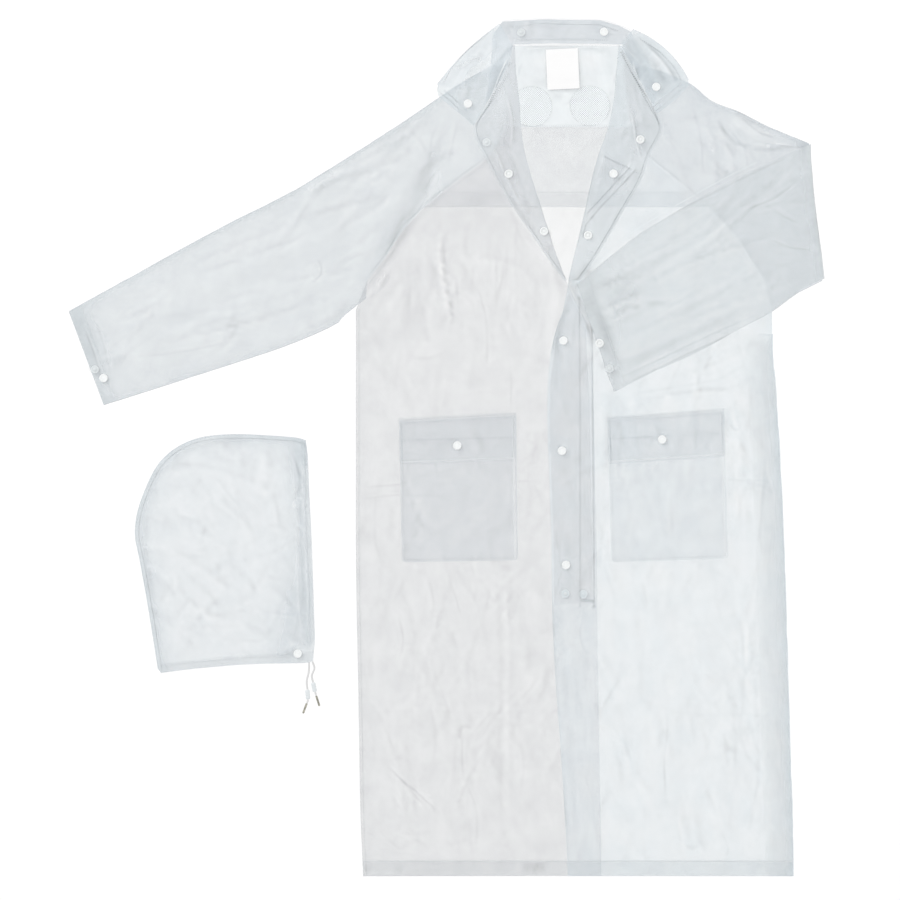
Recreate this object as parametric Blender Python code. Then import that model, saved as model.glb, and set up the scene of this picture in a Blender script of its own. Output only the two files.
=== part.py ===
"""Clear raincoat laid flat on its back, left sleeve folded over the front, hood taken off beside it.

Frame: X to the viewer's right, Y towards the collar, Z up from the surface it lies on. The origin is
under the middle of the coat's bounding box. Wearer's left and right are used throughout, so the right
front lies on the viewer's left. Tables are in millimetres.

Every ply of cloth is a flat outline. All outlines share one plan of triangles, and each ply takes its
height at a corner of the plan from the plies that it lies on, so no two plies can cross.
"""

import math

import bmesh
import bpy
import numpy as np
from mathutils import Matrix, Vector
from mathutils.geometry import delaunay_2d_cdt

MM = 0.001

# ---------------------------------------------------------------- driving sizes, millimetres
WALL = 1.0  # every cloth wall
PLY_GAP = 0.35  # air between plies that lie on each other
SEAM_GAP = 0.3  # air between pieces sewn edge to edge
SETTLE = 25.0  # how far past an edge the ply above comes down
PLAN_STEP = 44.0  # spacing of the plan's free corners
PLAN_CLEAR = 0.42  # a free corner keeps this share of the spacing from every outline
SAME_POINT = 0.02  # outlines' points this close are one

NECK_SEAM = 602.0  # height of the back neck seam
YOKE_EDGE = 480.0  # lower edge of the upper back's second ply
CAPE_HEM = 361.0  # lower edge of the cape
CROSSING = 250.0  # where the fronts cross
ARMPIT = 206.0
HEM = -642.0  # lower edge of the coat

SNAP_DIAMETER = 12.4
SNAP_HEIGHT = 2.4
SNAP_SIDES = 10
VENT_DIAMETER = 57.0
VENT_SIDES = 14
VENT_RIGHT = (128, 511)
VENT_LEFT = (215, 512)
LABEL_WIDTH = 48.0
LABEL_HEIGHT = 60.0
LABEL_CENTER = (174, 567)
LABEL_TILT = 2.7  # degrees

CORD_DIAMETER = 3.0
LOCK_DIAMETER = 7.0
LOCK_LENGTH = 14.0
TIP_DIAMETER = 4.2
TIP_LENGTH = 16.0

# ---------------------------------------------------------------- section tables, millimetres
# Body above the crossing of the fronts: where each line crosses a height, right to left of the wearer.
UPPER_COLUMNS = (
    "height",
    "raglan_right",
    "lapel_right",
    "roll_right",
    "roll_left",
    "lapel_left",
    "raglan_left",
)
UPPER = (
    (NECK_SEAM, 97, 101, 101, 259, 259, 263),
    (560, 95, 87, 103, 255, 283, 267),
    (520, 92, 64, 108, 251, 303, 270),
    (480, 87, 41, 111, 243, 323, 277),
    (440, 67, 55, 117, 229, 305, 298),
    (400, 16, 76, 128, 218, 291, 346),
    (360, -33, 99, 141, 209, 268, 392),
    (320, -69, 127, 154, 200, 245, 432),
    (280, -95, 154, 167, 190, 221, 458),
    (CROSSING, -119, 176, 179, 183, 200, 478),
)

# Body below it: side edges, and the front edges of the over front (left) and the under front (right).
LOWER_COLUMNS = ("height", "side_right", "over_edge", "under_edge", "side_left")
LOWER = (
    (ARMPIT, -136, 175, 200, 488),
    (176, -136, 164, 215, 488),
    (140, -136, 156, 217, 488),
    (100, -136, 152, 219, 492),
    (40, -136, 151, 221, 496),
    (-50, -136, 154, 223, 501),
    (-140, -136, 157, 225, 505),
    (-230, -135, 158, 226, 508),
    (-330, -133, 162, 227, 511),
    (-440, -131, 170, 229, 514),
    (-550, -129, 177, 231, 518),
    (HEM, -125, 182, 232, 519),
)

# Right sleeve: its edges above and below the axis, by distance along it from the neck.
SLEEVE_RIGHT_AXIS = ((90, 520), (-540, 132))
# Columns: distance along the axis, offset from it.
SLEEVE_RIGHT_TOP = (
    (-12, 55),
    (55, 57),
    (153, 53),
    (305, 51),
    (380, 54),
    (457, 61),
    (608, 69),
    (724, 74),
)
SLEEVE_RIGHT_UNDER = (
    (753, -71),
    (702, -84),
    (588, -112),
    (478, -138),
    (398, -150),
    (377, -146),
)
ARMPIT_RIGHT = (-129, 228)
ARMPIT_LEFT = (488 + SEAM_GAP, ARMPIT)

# Left sleeve's upper arm: shoulder line, then the fold, then the underarm.
SHOULDER_LEFT = ((290, 571), (320, 563), (365, 544), (398, 518), (440, 502), (485, 479), (543, 455))
ARM_FOLD = ((545, 454), (545, 432), (548, 395), (553, 350), (560, 296), (565, 253))
UNDERARM_LEFT = ((563, 251), (527, 233))

# Left forearm, turned over the front: its edges each side of its axis, from the fold to the cuff.
FOREARM_AXIS = ((555, 354), (223.5, 163.5))
FOREARM_ABOVE = (
    (41, 99),
    (108, 103),
    (212, 103),
    (256, 101),
    (304, 94),
    (342, 87),
)
FOREARM_BELOW = (
    (321, -87),
    (255, -93),
    (187, -94),
    (132, -96),
    (84, -89),
)
CUFF_LEFT = ((196, 244), (251, 83))

# Collar fall: its edge at the stand and its free edge, a row for each section round the neck.
# Columns: x and y at the stand, x and y at the free edge.
LEAF_RIGHT = (
    (41, 482, 38, 484),
    (61, 517, 13, 506),
    (84, 556, -10, 524),
    (98, 597, -14, 535),
    (80, 638, -13, 544),
)
FALL_BACK = (
    (80, 638, -13, 544),
    (92, 641, 40, 537),
    (140, 644, 110, 556),
    (230, 642, 250, 558),
    (262, 633, 312, 545),
    (279, 626, 362, 551),
)
LEAF_LEFT = (
    (279, 626, 362, 551),
    (262, 600, 362, 542),
    (283.5, 561, 338, 517),
    (312, 504, 315, 500),
)
TURN_BOW = 9.5  # how far each turned edge of the fall bulges past its chord

# Collar stand: outer and inner edge, right point, round the back, left point.
STAND_OUTER = ((57, 514), (62, 536), (67, 581), (73, 616), (95, 636), (140, 641), (230, 639),
               (262, 629), (284, 613), (304, 584), (312, 559), (315, 529), (310, 513))
STAND_INNER = ((299, 532), (284, 562), (262.5, 602.6), (237, 604), (158, 605), (101, 603),
               (96, 590), (84, 557), (63, 522))

# Front fly: the strip between the fronts, and its end on the left lapel.
FLY_LOWER = ((183, 232), (178, 212), (167, 176), (155, 101), (154, 40), (157, -50), (160, -140),
             (161, -236), (219, -236), (217, -50), (214, 71), (209, 176), (194, 212))
FLY_UPPER = ((239, 443), (279, 416), (231, 364), (209, 338), (206, 324), (217, 384))

# Pockets and flaps: top corners, then lower corners, wearer's right first.
POCKETS = {
    "pocket_right": ((-71, 40), (104, 48), (107, -169), (-67, -172)),
    "pocket_left": ((241, 42), (415, 54), (422, -166), (247, -172)),
    "flap_right": ((-72, 44), (105, 53), (105, -20), (-71, -26)),
    "flap_left": ((240, 46), (416, 59), (418, -14), (242, -25)),
}
SIDE_TURN = 42.0  # width of the ply turned in along the left side
SIDE_TURN_TOP = 170.0  # height where it starts

# Hood on its side: crown and back of the head, neck edge, and the edge round the face.
HOOD_BACK = ((-211, 11), (-235, 16), (-325, 20), (-385, 10), (-430, -22), (-458, -79),
             (-467, -127), (-460, -169), (-448, -236), (-437, -304), (-433, -331))
HOOD_NECK = ((-428, -338), (-370, -331), (-295, -325), (-212, -323), (-200, -320))
HOOD_FACE = ((-197, -289), (-199, -229), (-202, -139), (-205, -79), (-208, -11))
BAND_EDGE = ((-199, -305), (-220, -307), (-295, -311), (-370, -317), (-431, -325))
CASING_EDGE = ((-209, -303), (-208, -229), (-212, -139), (-214, -79), (-218, 10))

# Soft ridges that lift the upper plies.
# Columns: x0, y0, x1, y1, height, half width.
RIDGES = (
    (0, 334, -12, 176, 7, 34),  # right chest
    (-25, 150, 35, 86, 5, 34),  # drag below it
    (230, -290, 320, -600, 6, 38),  # left skirt
    (10, -250, 25, -600, 5, 38),  # right skirt
    (-175, 320, -445, 195, 7, 36),  # right sleeve, upper
    (-240, 215, -470, 140, 5, 32),  # right sleeve, lower
    (400, 480, 520, 380, 6, 36),  # left upper arm
    (-400, -40, -240, -120, 7, 38),  # hood, crown
    (-415, -185, -235, -265, 6, 38),  # hood, neck
)

# Snaps: place on the coat or the hood.
SNAPS = {
    "snap_front_1": (175, 160),
    "snap_front_2": (173, -5),
    "snap_front_3": (179, -176),
    "snap_lapel_right_1": (93, 410),
    "snap_lapel_right_2": (146, 324),
    "snap_lapel_left_1": (250, 410),
    "snap_lapel_left_2": (212, 318),
    "snap_neck_right": (60, 457),
    "snap_neck_left": (290, 461),
    "snap_leaf_right": (32, 515),
    "snap_leaf_left": (314, 540),
    "snap_stand_right": (112, 622),
    "snap_stand_left": (236, 623),
    "snap_cuff_right_1": (-514, 104),
    "snap_cuff_right_2": (-527, 117),
    "snap_cuff_left_1": (229, 156),
    "snap_cuff_left_2": (244, 118),
    "snap_flap_right": (16, 3),
    "snap_flap_left": (323, 12),
    "snap_hood": (-223, -309),
}

# Drawcord: each free end's route from the casing to its lock, and the direction of its tip past the lock.
CORD_ROUTES = {
    "a": ((-206, -322.2), (-206.5, -336), (-209.5, -350), (-208.5, -363)),
    "b": ((-201, -320.8), (-198, -331), (-202, -342), (-200, -352)),
}
CORD_ENDS = {"a": (-0.35, -0.94), "b": (0.3, -0.95)}

# ---------------------------------------------------------------- colours of the film and the fittings
FILM = {"color": (0.80, 0.84, 0.86, 1.0), "roughness": 0.25, "metallic": 0.0}
MESH = {"color": (0.86, 0.88, 0.89, 1.0), "roughness": 0.6, "metallic": 0.0}
LABEL = {"color": (0.93, 0.93, 0.92, 1.0), "roughness": 0.7, "metallic": 0.0}
SNAP = {"color": (0.88, 0.90, 0.91, 1.0), "roughness": 0.3, "metallic": 0.0}
CORD = {"color": (0.90, 0.90, 0.88, 1.0), "roughness": 0.8, "metallic": 0.0}
TIP = {"color": (0.25, 0.25, 0.27, 1.0), "roughness": 0.3, "metallic": 0.9}


# ---------------------------------------------------------------- lines and outlines
def column(table, columns, name, top=None, bottom=None):
    """The line that one column of a section table draws, from one height down to another."""
    at = columns.index(name)
    heights = [row[0] for row in table]
    values = [row[at] for row in table]
    top = heights[0] if top is None else top
    bottom = heights[-1] if bottom is None else bottom
    kept = [top] + [height for height in heights if bottom < height < top] + [bottom]
    return [(float(np.interp(-h, [-k for k in heights], values)), float(h)) for h in kept]


def upper(name, top=NECK_SEAM, bottom=CROSSING):
    return column(UPPER, UPPER_COLUMNS, name, top, bottom)


def lower(name, top=ARMPIT, bottom=HEM):
    return column(LOWER, LOWER_COLUMNS, name, top, bottom)


def along_axis(axis, rows):
    """Points given as (distance along an axis, offset to its upper side)."""
    start, end = Vector(axis[0]), Vector(axis[1])
    direction = (end - start).normalized()
    side = Vector((-direction.y, direction.x))
    if side.y < 0:
        side = -side
    return [tuple(start + direction * along + side * offset) for along, offset in rows]


def moved(line, distance):
    """A line moved sideways, to its left where distance is positive."""
    points = np.array(line, float)
    runs = np.diff(points, axis=0)
    runs /= np.linalg.norm(runs, axis=1)[:, None]
    normals = np.column_stack((-runs[:, 1], runs[:, 0]))
    joined = np.vstack((normals[:1], normals[:-1] + normals[1:], normals[-1:]))
    joined /= np.linalg.norm(joined, axis=1)[:, None]
    lean = np.ones(len(points))
    lean[1:-1] = 1.0 / np.maximum(0.5, (joined[1:-1] * normals[1:]).sum(axis=1))
    return [tuple(point) for point in points + joined * (distance * lean)[:, None]]


def strip(line, width):
    """A narrow band along a line, on its left where width is positive."""
    return list(line) + moved(line, width)[::-1]


def bowed(start, end, bow, steps=5):
    """Points between two ends on a shallow arc that bulges to the left of its chord."""
    chord = np.subtract(end, start)
    side = np.array((-chord[1], chord[0])) / np.linalg.norm(chord)
    shares = [step / steps for step in range(1, steps)]
    return [tuple(np.add(start, chord * s) + side * bow * 4 * s * (1 - s)) for s in shares]


def ring(center, diameter, sides):
    turns = [2 * math.pi * (side + 0.5) / sides for side in range(sides)]
    return [(center[0] + diameter / 2 * math.cos(t), center[1] + diameter / 2 * math.sin(t)) for t in turns]


def body_panel(left, right):
    """An outline between a line on the viewer's left and one on the right, both from the top down."""
    return list(left) + list(right)[::-1]


def upper_back(bottom):
    """The back's outline between the raglan seams, from the neck seam down to a height."""
    return body_panel(upper("raglan_right", bottom=bottom), upper("raglan_left", bottom=bottom))


def label_outline():
    tilt = Matrix.Rotation(math.radians(LABEL_TILT), 2)
    corners = [(side * LABEL_WIDTH / 2, LABEL_HEIGHT / 2) for side in (1, -1)]
    corners += [(-x, -y) for x, y in corners]
    return [tuple(tilt @ Vector(corner) + Vector(LABEL_CENTER)) for corner in corners]


def sleeve_right_lines():
    shoulder = along_axis(SLEEVE_RIGHT_AXIS, SLEEVE_RIGHT_TOP)
    underarm = along_axis(SLEEVE_RIGHT_AXIS, SLEEVE_RIGHT_UNDER) + [ARMPIT_RIGHT]
    return shoulder, underarm


def sleeve_right_outline():
    shoulder, underarm = sleeve_right_lines()
    return shoulder + underarm + moved(upper("raglan_right"), -SEAM_GAP)[::-1]


def sleeve_left_outline(fold):
    seam = moved(upper("raglan_left"), SEAM_GAP)
    return [*SHOULDER_LEFT, *fold, *UNDERARM_LEFT, ARMPIT_LEFT, *seam[::-1]]


def forearm_lines():
    return along_axis(FOREARM_AXIS, FOREARM_ABOVE), along_axis(FOREARM_AXIS, FOREARM_BELOW)


def forearm_outline(fold):
    above, below = forearm_lines()
    return [*above, *CUFF_LEFT, *below, *fold[::-1]]


def turned_edge(row, bow):
    """The edge where the fall turns over, from the stand to the free edge."""
    inner, free = row[:2], row[2:]
    return [inner] + bowed(inner, free, bow) + [free]


def fall_outline(rows, first_bow=None, last_bow=None):
    """The part of the fall between its sections; a bow marks an end that is a turned edge."""
    first = turned_edge(rows[0], first_bow)[1:-1][::-1] if first_bow else []
    last = turned_edge(rows[-1], last_bow)[1:-1] if last_bow else []
    return [row[:2] for row in rows] + last + [row[2:] for row in rows][::-1] + first


# ---------------------------------------------------------------- the plan that all plies share
def inside(points, outline):
    """Which points lie inside an outline."""
    x, y = points[:, 0], points[:, 1]
    found = np.zeros(len(points), bool)
    corners = np.array(outline, float)
    for (x0, y0), (x1, y1) in zip(corners, np.roll(corners, -1, axis=0)):
        if y0 == y1:
            continue
        crosses = (y0 > y) != (y1 > y)
        found ^= crosses & (x < (x1 - x0) * (y - y0) / (y1 - y0) + x0)
    return found


def turn_of(first, second):
    """Twice the signed area between pairs of plane vectors."""
    return first[..., 0] * second[..., 1] - first[..., 1] * second[..., 0]


def distance(points, line, closed=True):
    """How far each point lies from a line's nearest point."""
    corners = np.array(line, float)
    ends = np.roll(corners, -1, axis=0) if closed else corners[1:]
    starts = corners if closed else corners[:-1]
    nearest = np.full(len(points), np.inf)
    for start, end in zip(starts, ends):
        run = end - start
        length = max(float(run @ run), 1e-12)
        share = np.clip(((points - start) @ run) / length, 0, 1)
        gap = points - start - share[:, None] * run
        nearest = np.minimum(nearest, np.hypot(gap[:, 0], gap[:, 1]))
    return nearest


def shared_plan(outlines, crests):
    """Triangles over the whole coat, with every outline and every ridge's crest among their edges."""
    points, edges = [], []
    for line, closed in [(outline, True) for outline in outlines] + [(crest, False) for crest in crests]:
        first = len(points)
        points += [Vector(point) for point in line]
        edges += [(first + i, first + i + 1) for i in range(len(line) - 1)]
        if closed:
            edges.append((first + len(line) - 1, first))
    fixed = np.array([tuple(point) for point in points])
    low, high = fixed.min(axis=0), fixed.max(axis=0)
    free = []
    row_step = PLAN_STEP * math.sqrt(3) / 2
    for row, y in enumerate(np.arange(low[1], high[1], row_step)):
        shift = PLAN_STEP / 2 * (row % 2)
        free += [(x, y) for x in np.arange(low[0] + shift, high[0], PLAN_STEP)]
    free = np.array(free)
    near = np.full(len(free), np.inf)
    covered = np.zeros(len(free), bool)
    for outline in outlines:
        near = np.minimum(near, distance(free, outline))
        covered |= inside(free, outline)
    for crest in crests:
        near = np.minimum(near, distance(free, crest, closed=False))
    kept = free[covered & (near > PLAN_CLEAR * PLAN_STEP)]
    points += [Vector(point) for point in kept]
    corners, _, faces, _, _, _ = delaunay_2d_cdt(points, edges, [], 0, SAME_POINT)
    plan = np.array([tuple(corner) for corner in corners])
    triangles = np.array([face for face in faces if len(face) == 3])
    a, b, c = (plan[triangles[:, i]] for i in range(3))
    back_to_front = turn_of(b - a, c - a) < 0
    triangles[back_to_front] = triangles[back_to_front][:, ::-1]
    return plan, triangles


def crest_lift(plan):
    """Height that the ridges add at each corner of the plan."""
    lift = np.zeros(len(plan))
    for x0, y0, x1, y1, height, half_width in RIDGES:
        gap = distance(plan, [(x0, y0), (x1, y1)], closed=False)
        share = np.clip(1 - (gap / half_width) ** 2, 0, 1)
        lift = np.maximum(lift, height * share**2)
    return lift


# ---------------------------------------------------------------- plies
def ply_table():
    """Each ply: its outlines, and the plies that it lies on. "air" adds the ridges under it."""
    fold_inner = moved(ARM_FOLD, -(WALL + PLY_GAP))
    right_side = upper("raglan_right") + lower("side_right")
    left_side = upper("raglan_left") + lower("side_left")
    turn = lower("side_left", SIDE_TURN_TOP)
    hood = HOOD_BACK + HOOD_NECK + HOOD_FACE
    sleeves = ("sleeve_right.upper", "sleeve_left.upper")
    return {
        "fall.back": ([fall_outline(FALL_BACK, -TURN_BOW, TURN_BOW)], ()),
        "cape": ([upper_back(CAPE_HEM)], ("fall.back",)),
        "sleeve_right.lower": ([sleeve_right_outline()], ("cape",)),
        "sleeve_left.lower": ([sleeve_left_outline(ARM_FOLD)], ("cape",)),
        "back": ([body_panel(right_side, left_side)], ("cape",)),
        "yoke": ([upper_back(YOKE_EDGE)], ("back",)),
        "vent_right": ([ring(VENT_RIGHT, VENT_DIAMETER, VENT_SIDES)], ("yoke",)),
        "vent_left": ([ring(VENT_LEFT, VENT_DIAMETER, VENT_SIDES)], ("yoke",)),
        "label": ([label_outline()], ("yoke",)),
        "sleeve_right.upper": ([sleeve_right_outline()], ("sleeve_right.lower", "air")),
        "sleeve_left.upper": ([sleeve_left_outline(fold_inner)], ("sleeve_left.lower", "air")),
        "front_right.body": (
            [body_panel(right_side, upper("roll_right") + lower("under_edge"))],
            ("yoke", "vent_right", "air"),
        ),
        "fly_lower": ([FLY_LOWER], ("front_right.body",)),
        "front_left.turn": ([body_panel(moved(turn, -SIDE_TURN), turn)], ("front_right.body",)),
        "front_left.body": (
            [body_panel(upper("roll_left") + lower("over_edge"), left_side)],
            ("fly_lower", "front_left.turn", "vent_left"),
        ),
        "pocket_right": ([POCKETS["pocket_right"]], ("front_right.body",)),
        "pocket_left": ([POCKETS["pocket_left"]], ("front_left.body",)),
        "flap_right": ([POCKETS["flap_right"]], ("pocket_right",)),
        "flap_left": ([POCKETS["flap_left"]], ("pocket_left",)),
        "front_right.lapel": (
            [body_panel(upper("lapel_right"), upper("roll_right"))],
            ("front_right.body", "sleeve_right.upper"),
        ),
        "front_left.lapel": (
            [body_panel(upper("roll_left"), upper("lapel_left"))],
            ("front_left.body", "sleeve_left.upper"),
        ),
        "fly_upper": ([FLY_UPPER], ("front_left.lapel",)),
        "forearm.lower": ([forearm_outline(fold_inner)], ("front_left.lapel", "sleeve_left.upper")),
        "forearm.upper": ([forearm_outline(ARM_FOLD)], ("forearm.lower",)),
        "stand": ([STAND_OUTER + STAND_INNER], ("front_right.body", "front_left.body", *sleeves)),
        "fall.leaves": (
            [fall_outline(LEAF_RIGHT, last_bow=-TURN_BOW), fall_outline(LEAF_LEFT, first_bow=TURN_BOW)],
            ("stand",),
        ),
        "hood.under": ([hood], ()),
        "hood.over": ([hood], ("hood.under", "air")),
        "hood.band": ([HOOD_NECK + BAND_EDGE], ("hood.over",)),
        "hood.casing": ([HOOD_FACE + HOOD_BACK[:1] + CASING_EDGE[::-1]], ("hood.over",)),
    }


def turned_edges():
    """Each folded edge: the two plies that it joins and the narrow band that joins them."""
    shoulder, underarm = sleeve_right_lines()
    above, below = forearm_lines()
    fold_inner = moved(ARM_FOLD, -(WALL + PLY_GAP))
    cuff_top, cuff_bottom = CUFF_LEFT
    side = lower("side_left", SIDE_TURN_TOP)
    return {
        "sleeve_right": (
            ("sleeve_right.lower", "sleeve_right.upper", strip(shoulder, WALL)),
            ("sleeve_right.lower", "sleeve_right.upper", strip(underarm, WALL)),
        ),
        "sleeve_left": (
            ("sleeve_left.lower", "sleeve_left.upper", strip(SHOULDER_LEFT, -WALL)),
            ("sleeve_left.lower", "sleeve_left.upper", strip([*UNDERARM_LEFT, ARMPIT_LEFT], -WALL)),
            ("forearm.lower", "forearm.upper", strip([ARM_FOLD[0]] + above + [cuff_top], WALL)),
            ("forearm.lower", "forearm.upper", strip([cuff_bottom] + below + [ARM_FOLD[-1]], WALL)),
            ("sleeve_left.lower", "forearm.upper", strip(ARM_FOLD, -WALL)),
            ("sleeve_left.upper", "forearm.lower", strip(fold_inner, -WALL)),
        ),
        "front_right": (("front_right.body", "front_right.lapel", strip(upper("roll_right"), -WALL)),),
        "front_left": (
            ("front_left.body", "front_left.lapel", strip(upper("roll_left"), WALL)),
            ("front_left.turn", "front_left.body", strip(side, -WALL)),
        ),
        "collar_fall": (
            ("fall.back", "fall.leaves", strip(turned_edge(LEAF_RIGHT[-1], -TURN_BOW), WALL)),
            ("fall.back", "fall.leaves", strip(turned_edge(LEAF_LEFT[0], TURN_BOW), -WALL)),
        ),
    }


PIECES = {
    "back_cape": (("cape",), FILM),
    "back_panel": (("back",), FILM),
    "back_yoke": (("yoke",), FILM),
    "vent_right": (("vent_right",), MESH),
    "vent_left": (("vent_left",), MESH),
    "neck_label": (("label",), LABEL),
    "sleeve_right": (("sleeve_right.lower", "sleeve_right.upper"), FILM),
    "sleeve_left": (("sleeve_left.lower", "sleeve_left.upper", "forearm.lower", "forearm.upper"), FILM),
    "front_right": (("front_right.body", "front_right.lapel"), FILM),
    "front_left": (("front_left.turn", "front_left.body", "front_left.lapel"), FILM),
    "fly_lower": (("fly_lower",), FILM),
    "fly_upper": (("fly_upper",), FILM),
    "pocket_right": (("pocket_right",), FILM),
    "pocket_left": (("pocket_left",), FILM),
    "flap_right": (("flap_right",), FILM),
    "flap_left": (("flap_left",), FILM),
    "collar_stand": (("stand",), FILM),
    "collar_fall": (("fall.back", "fall.leaves"), FILM),
    "hood_side_under": (("hood.under",), FILM),
    "hood_side_over": (("hood.over",), FILM),
    "hood_band": (("hood.band",), FILM),
    "hood_casing": (("hood.casing",), FILM),
}


class Stack:
    """The plan, and the height of every ply's underside at each of its corners."""

    def __init__(self, plies, edges):
        bands = [band for joins in edges.values() for _, _, band in joins]
        outlines = [outline for found, _ in plies.values() for outline in found]
        crests = [((x0, y0), (x1, y1)) for x0, y0, x1, y1, _, _ in RIDGES]
        self.plan, self.triangles = shared_plan(outlines + bands, crests)
        self.centers = self.plan[self.triangles].mean(axis=1)
        self.regions = {name: self.covered(found) for name, (found, _) in plies.items()}
        self.heights = self.settled(plies)

    def covered(self, outlines):
        found = np.zeros(len(self.centers), bool)
        for outline in outlines:
            found |= inside(self.centers, outline)
        return found

    def settled(self, plies):
        """Underside heights: each ply below adds its wall, less and less past its own edge."""
        lift = crest_lift(self.plan)
        under, added, heights = {}, {}, {}
        for name, (outlines, rests_on) in plies.items():
            below = set(rests_on)
            for other in rests_on:
                below |= under.get(other, set())
            under[name] = below
            heights[name] = sum((added[other] for other in below - {"air"}), np.zeros(len(self.plan)))
            if "air" in below:
                heights[name] = heights[name] + lift
            past = np.full(len(self.plan), np.inf)
            for outline in outlines:
                away = distance(self.plan, outline)
                away[inside(self.plan, outline)] = 0
                past = np.minimum(past, away)
            share = np.clip(1 - past / SETTLE, 0, 1)
            added[name] = (WALL + PLY_GAP) * share**2 * (3 - 2 * share)
        return heights

    def top_at(self, x, y, reach):
        """The highest cloth within reach of a place."""
        a, b, c = (self.plan[self.triangles[:, i]] for i in range(3))
        area = turn_of(b - a, c - a)
        best = 0.0
        for spot in np.array([(x, y)] + ring((x, y), 2 * reach, 8)):
            parts = [turn_of(b - spot, c - spot), turn_of(c - spot, a - spot), turn_of(a - spot, b - spot)]
            shares = np.column_stack(parts) / area[:, None]
            for hit in np.nonzero(shares.min(axis=1) >= 0)[0]:
                for name, region in self.regions.items():
                    if region[hit]:
                        best = max(best, float(self.heights[name][self.triangles[hit]] @ shares[hit]) + WALL)
        return best


# ---------------------------------------------------------------- solids
def surface(name, finish):
    material = bpy.data.materials.new(name)
    material.use_nodes = True
    shader = material.node_tree.nodes["Principled BSDF"]
    shader.inputs["Base Color"].default_value = finish["color"]
    shader.inputs["Roughness"].default_value = finish["roughness"]
    shader.inputs["Metallic"].default_value = finish["metallic"]
    material.diffuse_color = finish["color"]
    return material


def add_object(name, mesh, finish):
    obj = bpy.data.objects.new(name, mesh)
    obj.data.materials.append(surface(name, finish))
    bpy.context.scene.collection.objects.link(obj)
    return obj


def cloth_solid(name, stack, plies, joins, finish):
    """One closed body: the plies' walls, joined along their turned edges."""
    levels = []
    for ply in plies:
        levels += [stack.heights[ply], stack.heights[ply] + WALL]
    filled = np.zeros((len(levels) - 1, len(stack.triangles)), bool)
    for index, ply in enumerate(plies):
        filled[2 * index] |= stack.regions[ply]
    for first, second, band in joins:
        within = stack.covered([band]) & stack.regions[first] & stack.regions[second]
        low, high = 2 * plies.index(first), 2 * plies.index(second)
        filled[low : high + 1] |= within

    mesh = bmesh.new()
    made = {}

    def vertex(corner, level):
        if (corner, level) not in made:
            x, y = stack.plan[corner]
            made[corner, level] = mesh.verts.new((x * MM, y * MM, levels[level][corner] * MM))
        return made[corner, level]

    beside = {}
    for index, triangle in enumerate(stack.triangles.tolist()):
        for start, end in zip(triangle, triangle[1:] + triangle[:1]):
            beside[start, end] = index
    for step in range(len(filled)):
        above = filled[step + 1] if step + 1 < len(filled) else np.zeros(len(stack.triangles), bool)
        below = filled[step - 1] if step else np.zeros(len(stack.triangles), bool)
        for index in np.nonzero(filled[step])[0]:
            corners = stack.triangles[index].tolist()
            if not above[index]:
                mesh.faces.new([vertex(corner, step + 1) for corner in corners])
            if not below[index]:
                mesh.faces.new([vertex(corner, step) for corner in corners[::-1]])
            for start, end in zip(corners, corners[1:] + corners[:1]):
                other = beside.get((end, start))
                if other is None or not filled[step][other]:
                    low = (vertex(start, step), vertex(end, step))
                    high = (vertex(end, step + 1), vertex(start, step + 1))
                    mesh.faces.new(low + high)
    data = bpy.data.meshes.new(name)
    mesh.to_mesh(data)
    mesh.free()
    return add_object(name, data, finish)


def turned_solid(name, profile, sides, finish, place):
    """A body turned round Z from (radius, height) rows, then placed by a matrix."""
    mesh = bmesh.new()
    rings = []
    for radius, height in profile:
        turns = [2 * math.pi * side / sides for side in range(sides)]
        rings.append([mesh.verts.new((radius * math.cos(t), radius * math.sin(t), height)) for t in turns])
    for low, high in zip(rings, rings[1:]):
        for side in range(sides):
            after = (side + 1) % sides
            mesh.faces.new((low[side], low[after], high[after], high[side]))
    mesh.faces.new(rings[0][::-1])
    mesh.faces.new(rings[-1])
    bmesh.ops.transform(mesh, matrix=place @ Matrix.Scale(MM, 4), verts=mesh.verts)
    data = bpy.data.meshes.new(name)
    mesh.to_mesh(data)
    mesh.free()
    data.shade_smooth()
    data.set_sharp_from_angle(angle=math.radians(35))
    return add_object(name, data, finish)


def snap_solid(name, stack, x, y):
    radius, height = SNAP_DIAMETER / 2, SNAP_HEIGHT
    profile = ((radius, 0), (radius, 0.45 * height), (0.72 * radius, height))
    rest = stack.top_at(x, y, radius) + SEAM_GAP
    turned_solid(name, profile, SNAP_SIDES, SNAP, Matrix.Translation((x * MM, y * MM, rest * MM)))


def smooth_route(points, spacing):
    """A smooth curve through a route's own points, as evenly spaced points."""
    route = np.array(points, float)
    padded = np.vstack((2 * route[0] - route[1], route, 2 * route[-1] - route[-2]))
    fine = []
    for i in range(len(route) - 1):
        p0, p1, p2, p3 = padded[i : i + 4]
        for t in np.linspace(0, 1, 12, endpoint=False):
            fine.append(
                0.5 * (2 * p1 + (p2 - p0) * t + (2 * p0 - 5 * p1 + 4 * p2 - p3) * t**2
                       + (3 * p1 - p0 - 3 * p2 + p3) * t**3)
            )
    fine = np.vstack((fine, route[-1]))
    run = np.concatenate(([0], np.cumsum(np.linalg.norm(np.diff(fine, axis=0), axis=1))))
    marks = np.linspace(0, run[-1], max(3, round(run[-1] / spacing)) + 1)
    return np.column_stack([np.interp(marks, run, fine[:, axis]) for axis in range(fine.shape[1])])


def cord_solid(name, route):
    curve = bpy.data.curves.new(name, "CURVE")
    curve.dimensions = "3D"
    curve.bevel_depth = CORD_DIAMETER / 2 * MM
    curve.bevel_resolution = 2
    curve.use_fill_caps = True
    points = smooth_route(route, 2.5 * CORD_DIAMETER)
    spline = curve.splines.new("POLY")
    spline.points.add(len(points) - 1)
    for target, point in zip(spline.points, points):
        target.co = (*(point * MM), 1)
    return add_object(name, curve, CORD)


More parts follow.
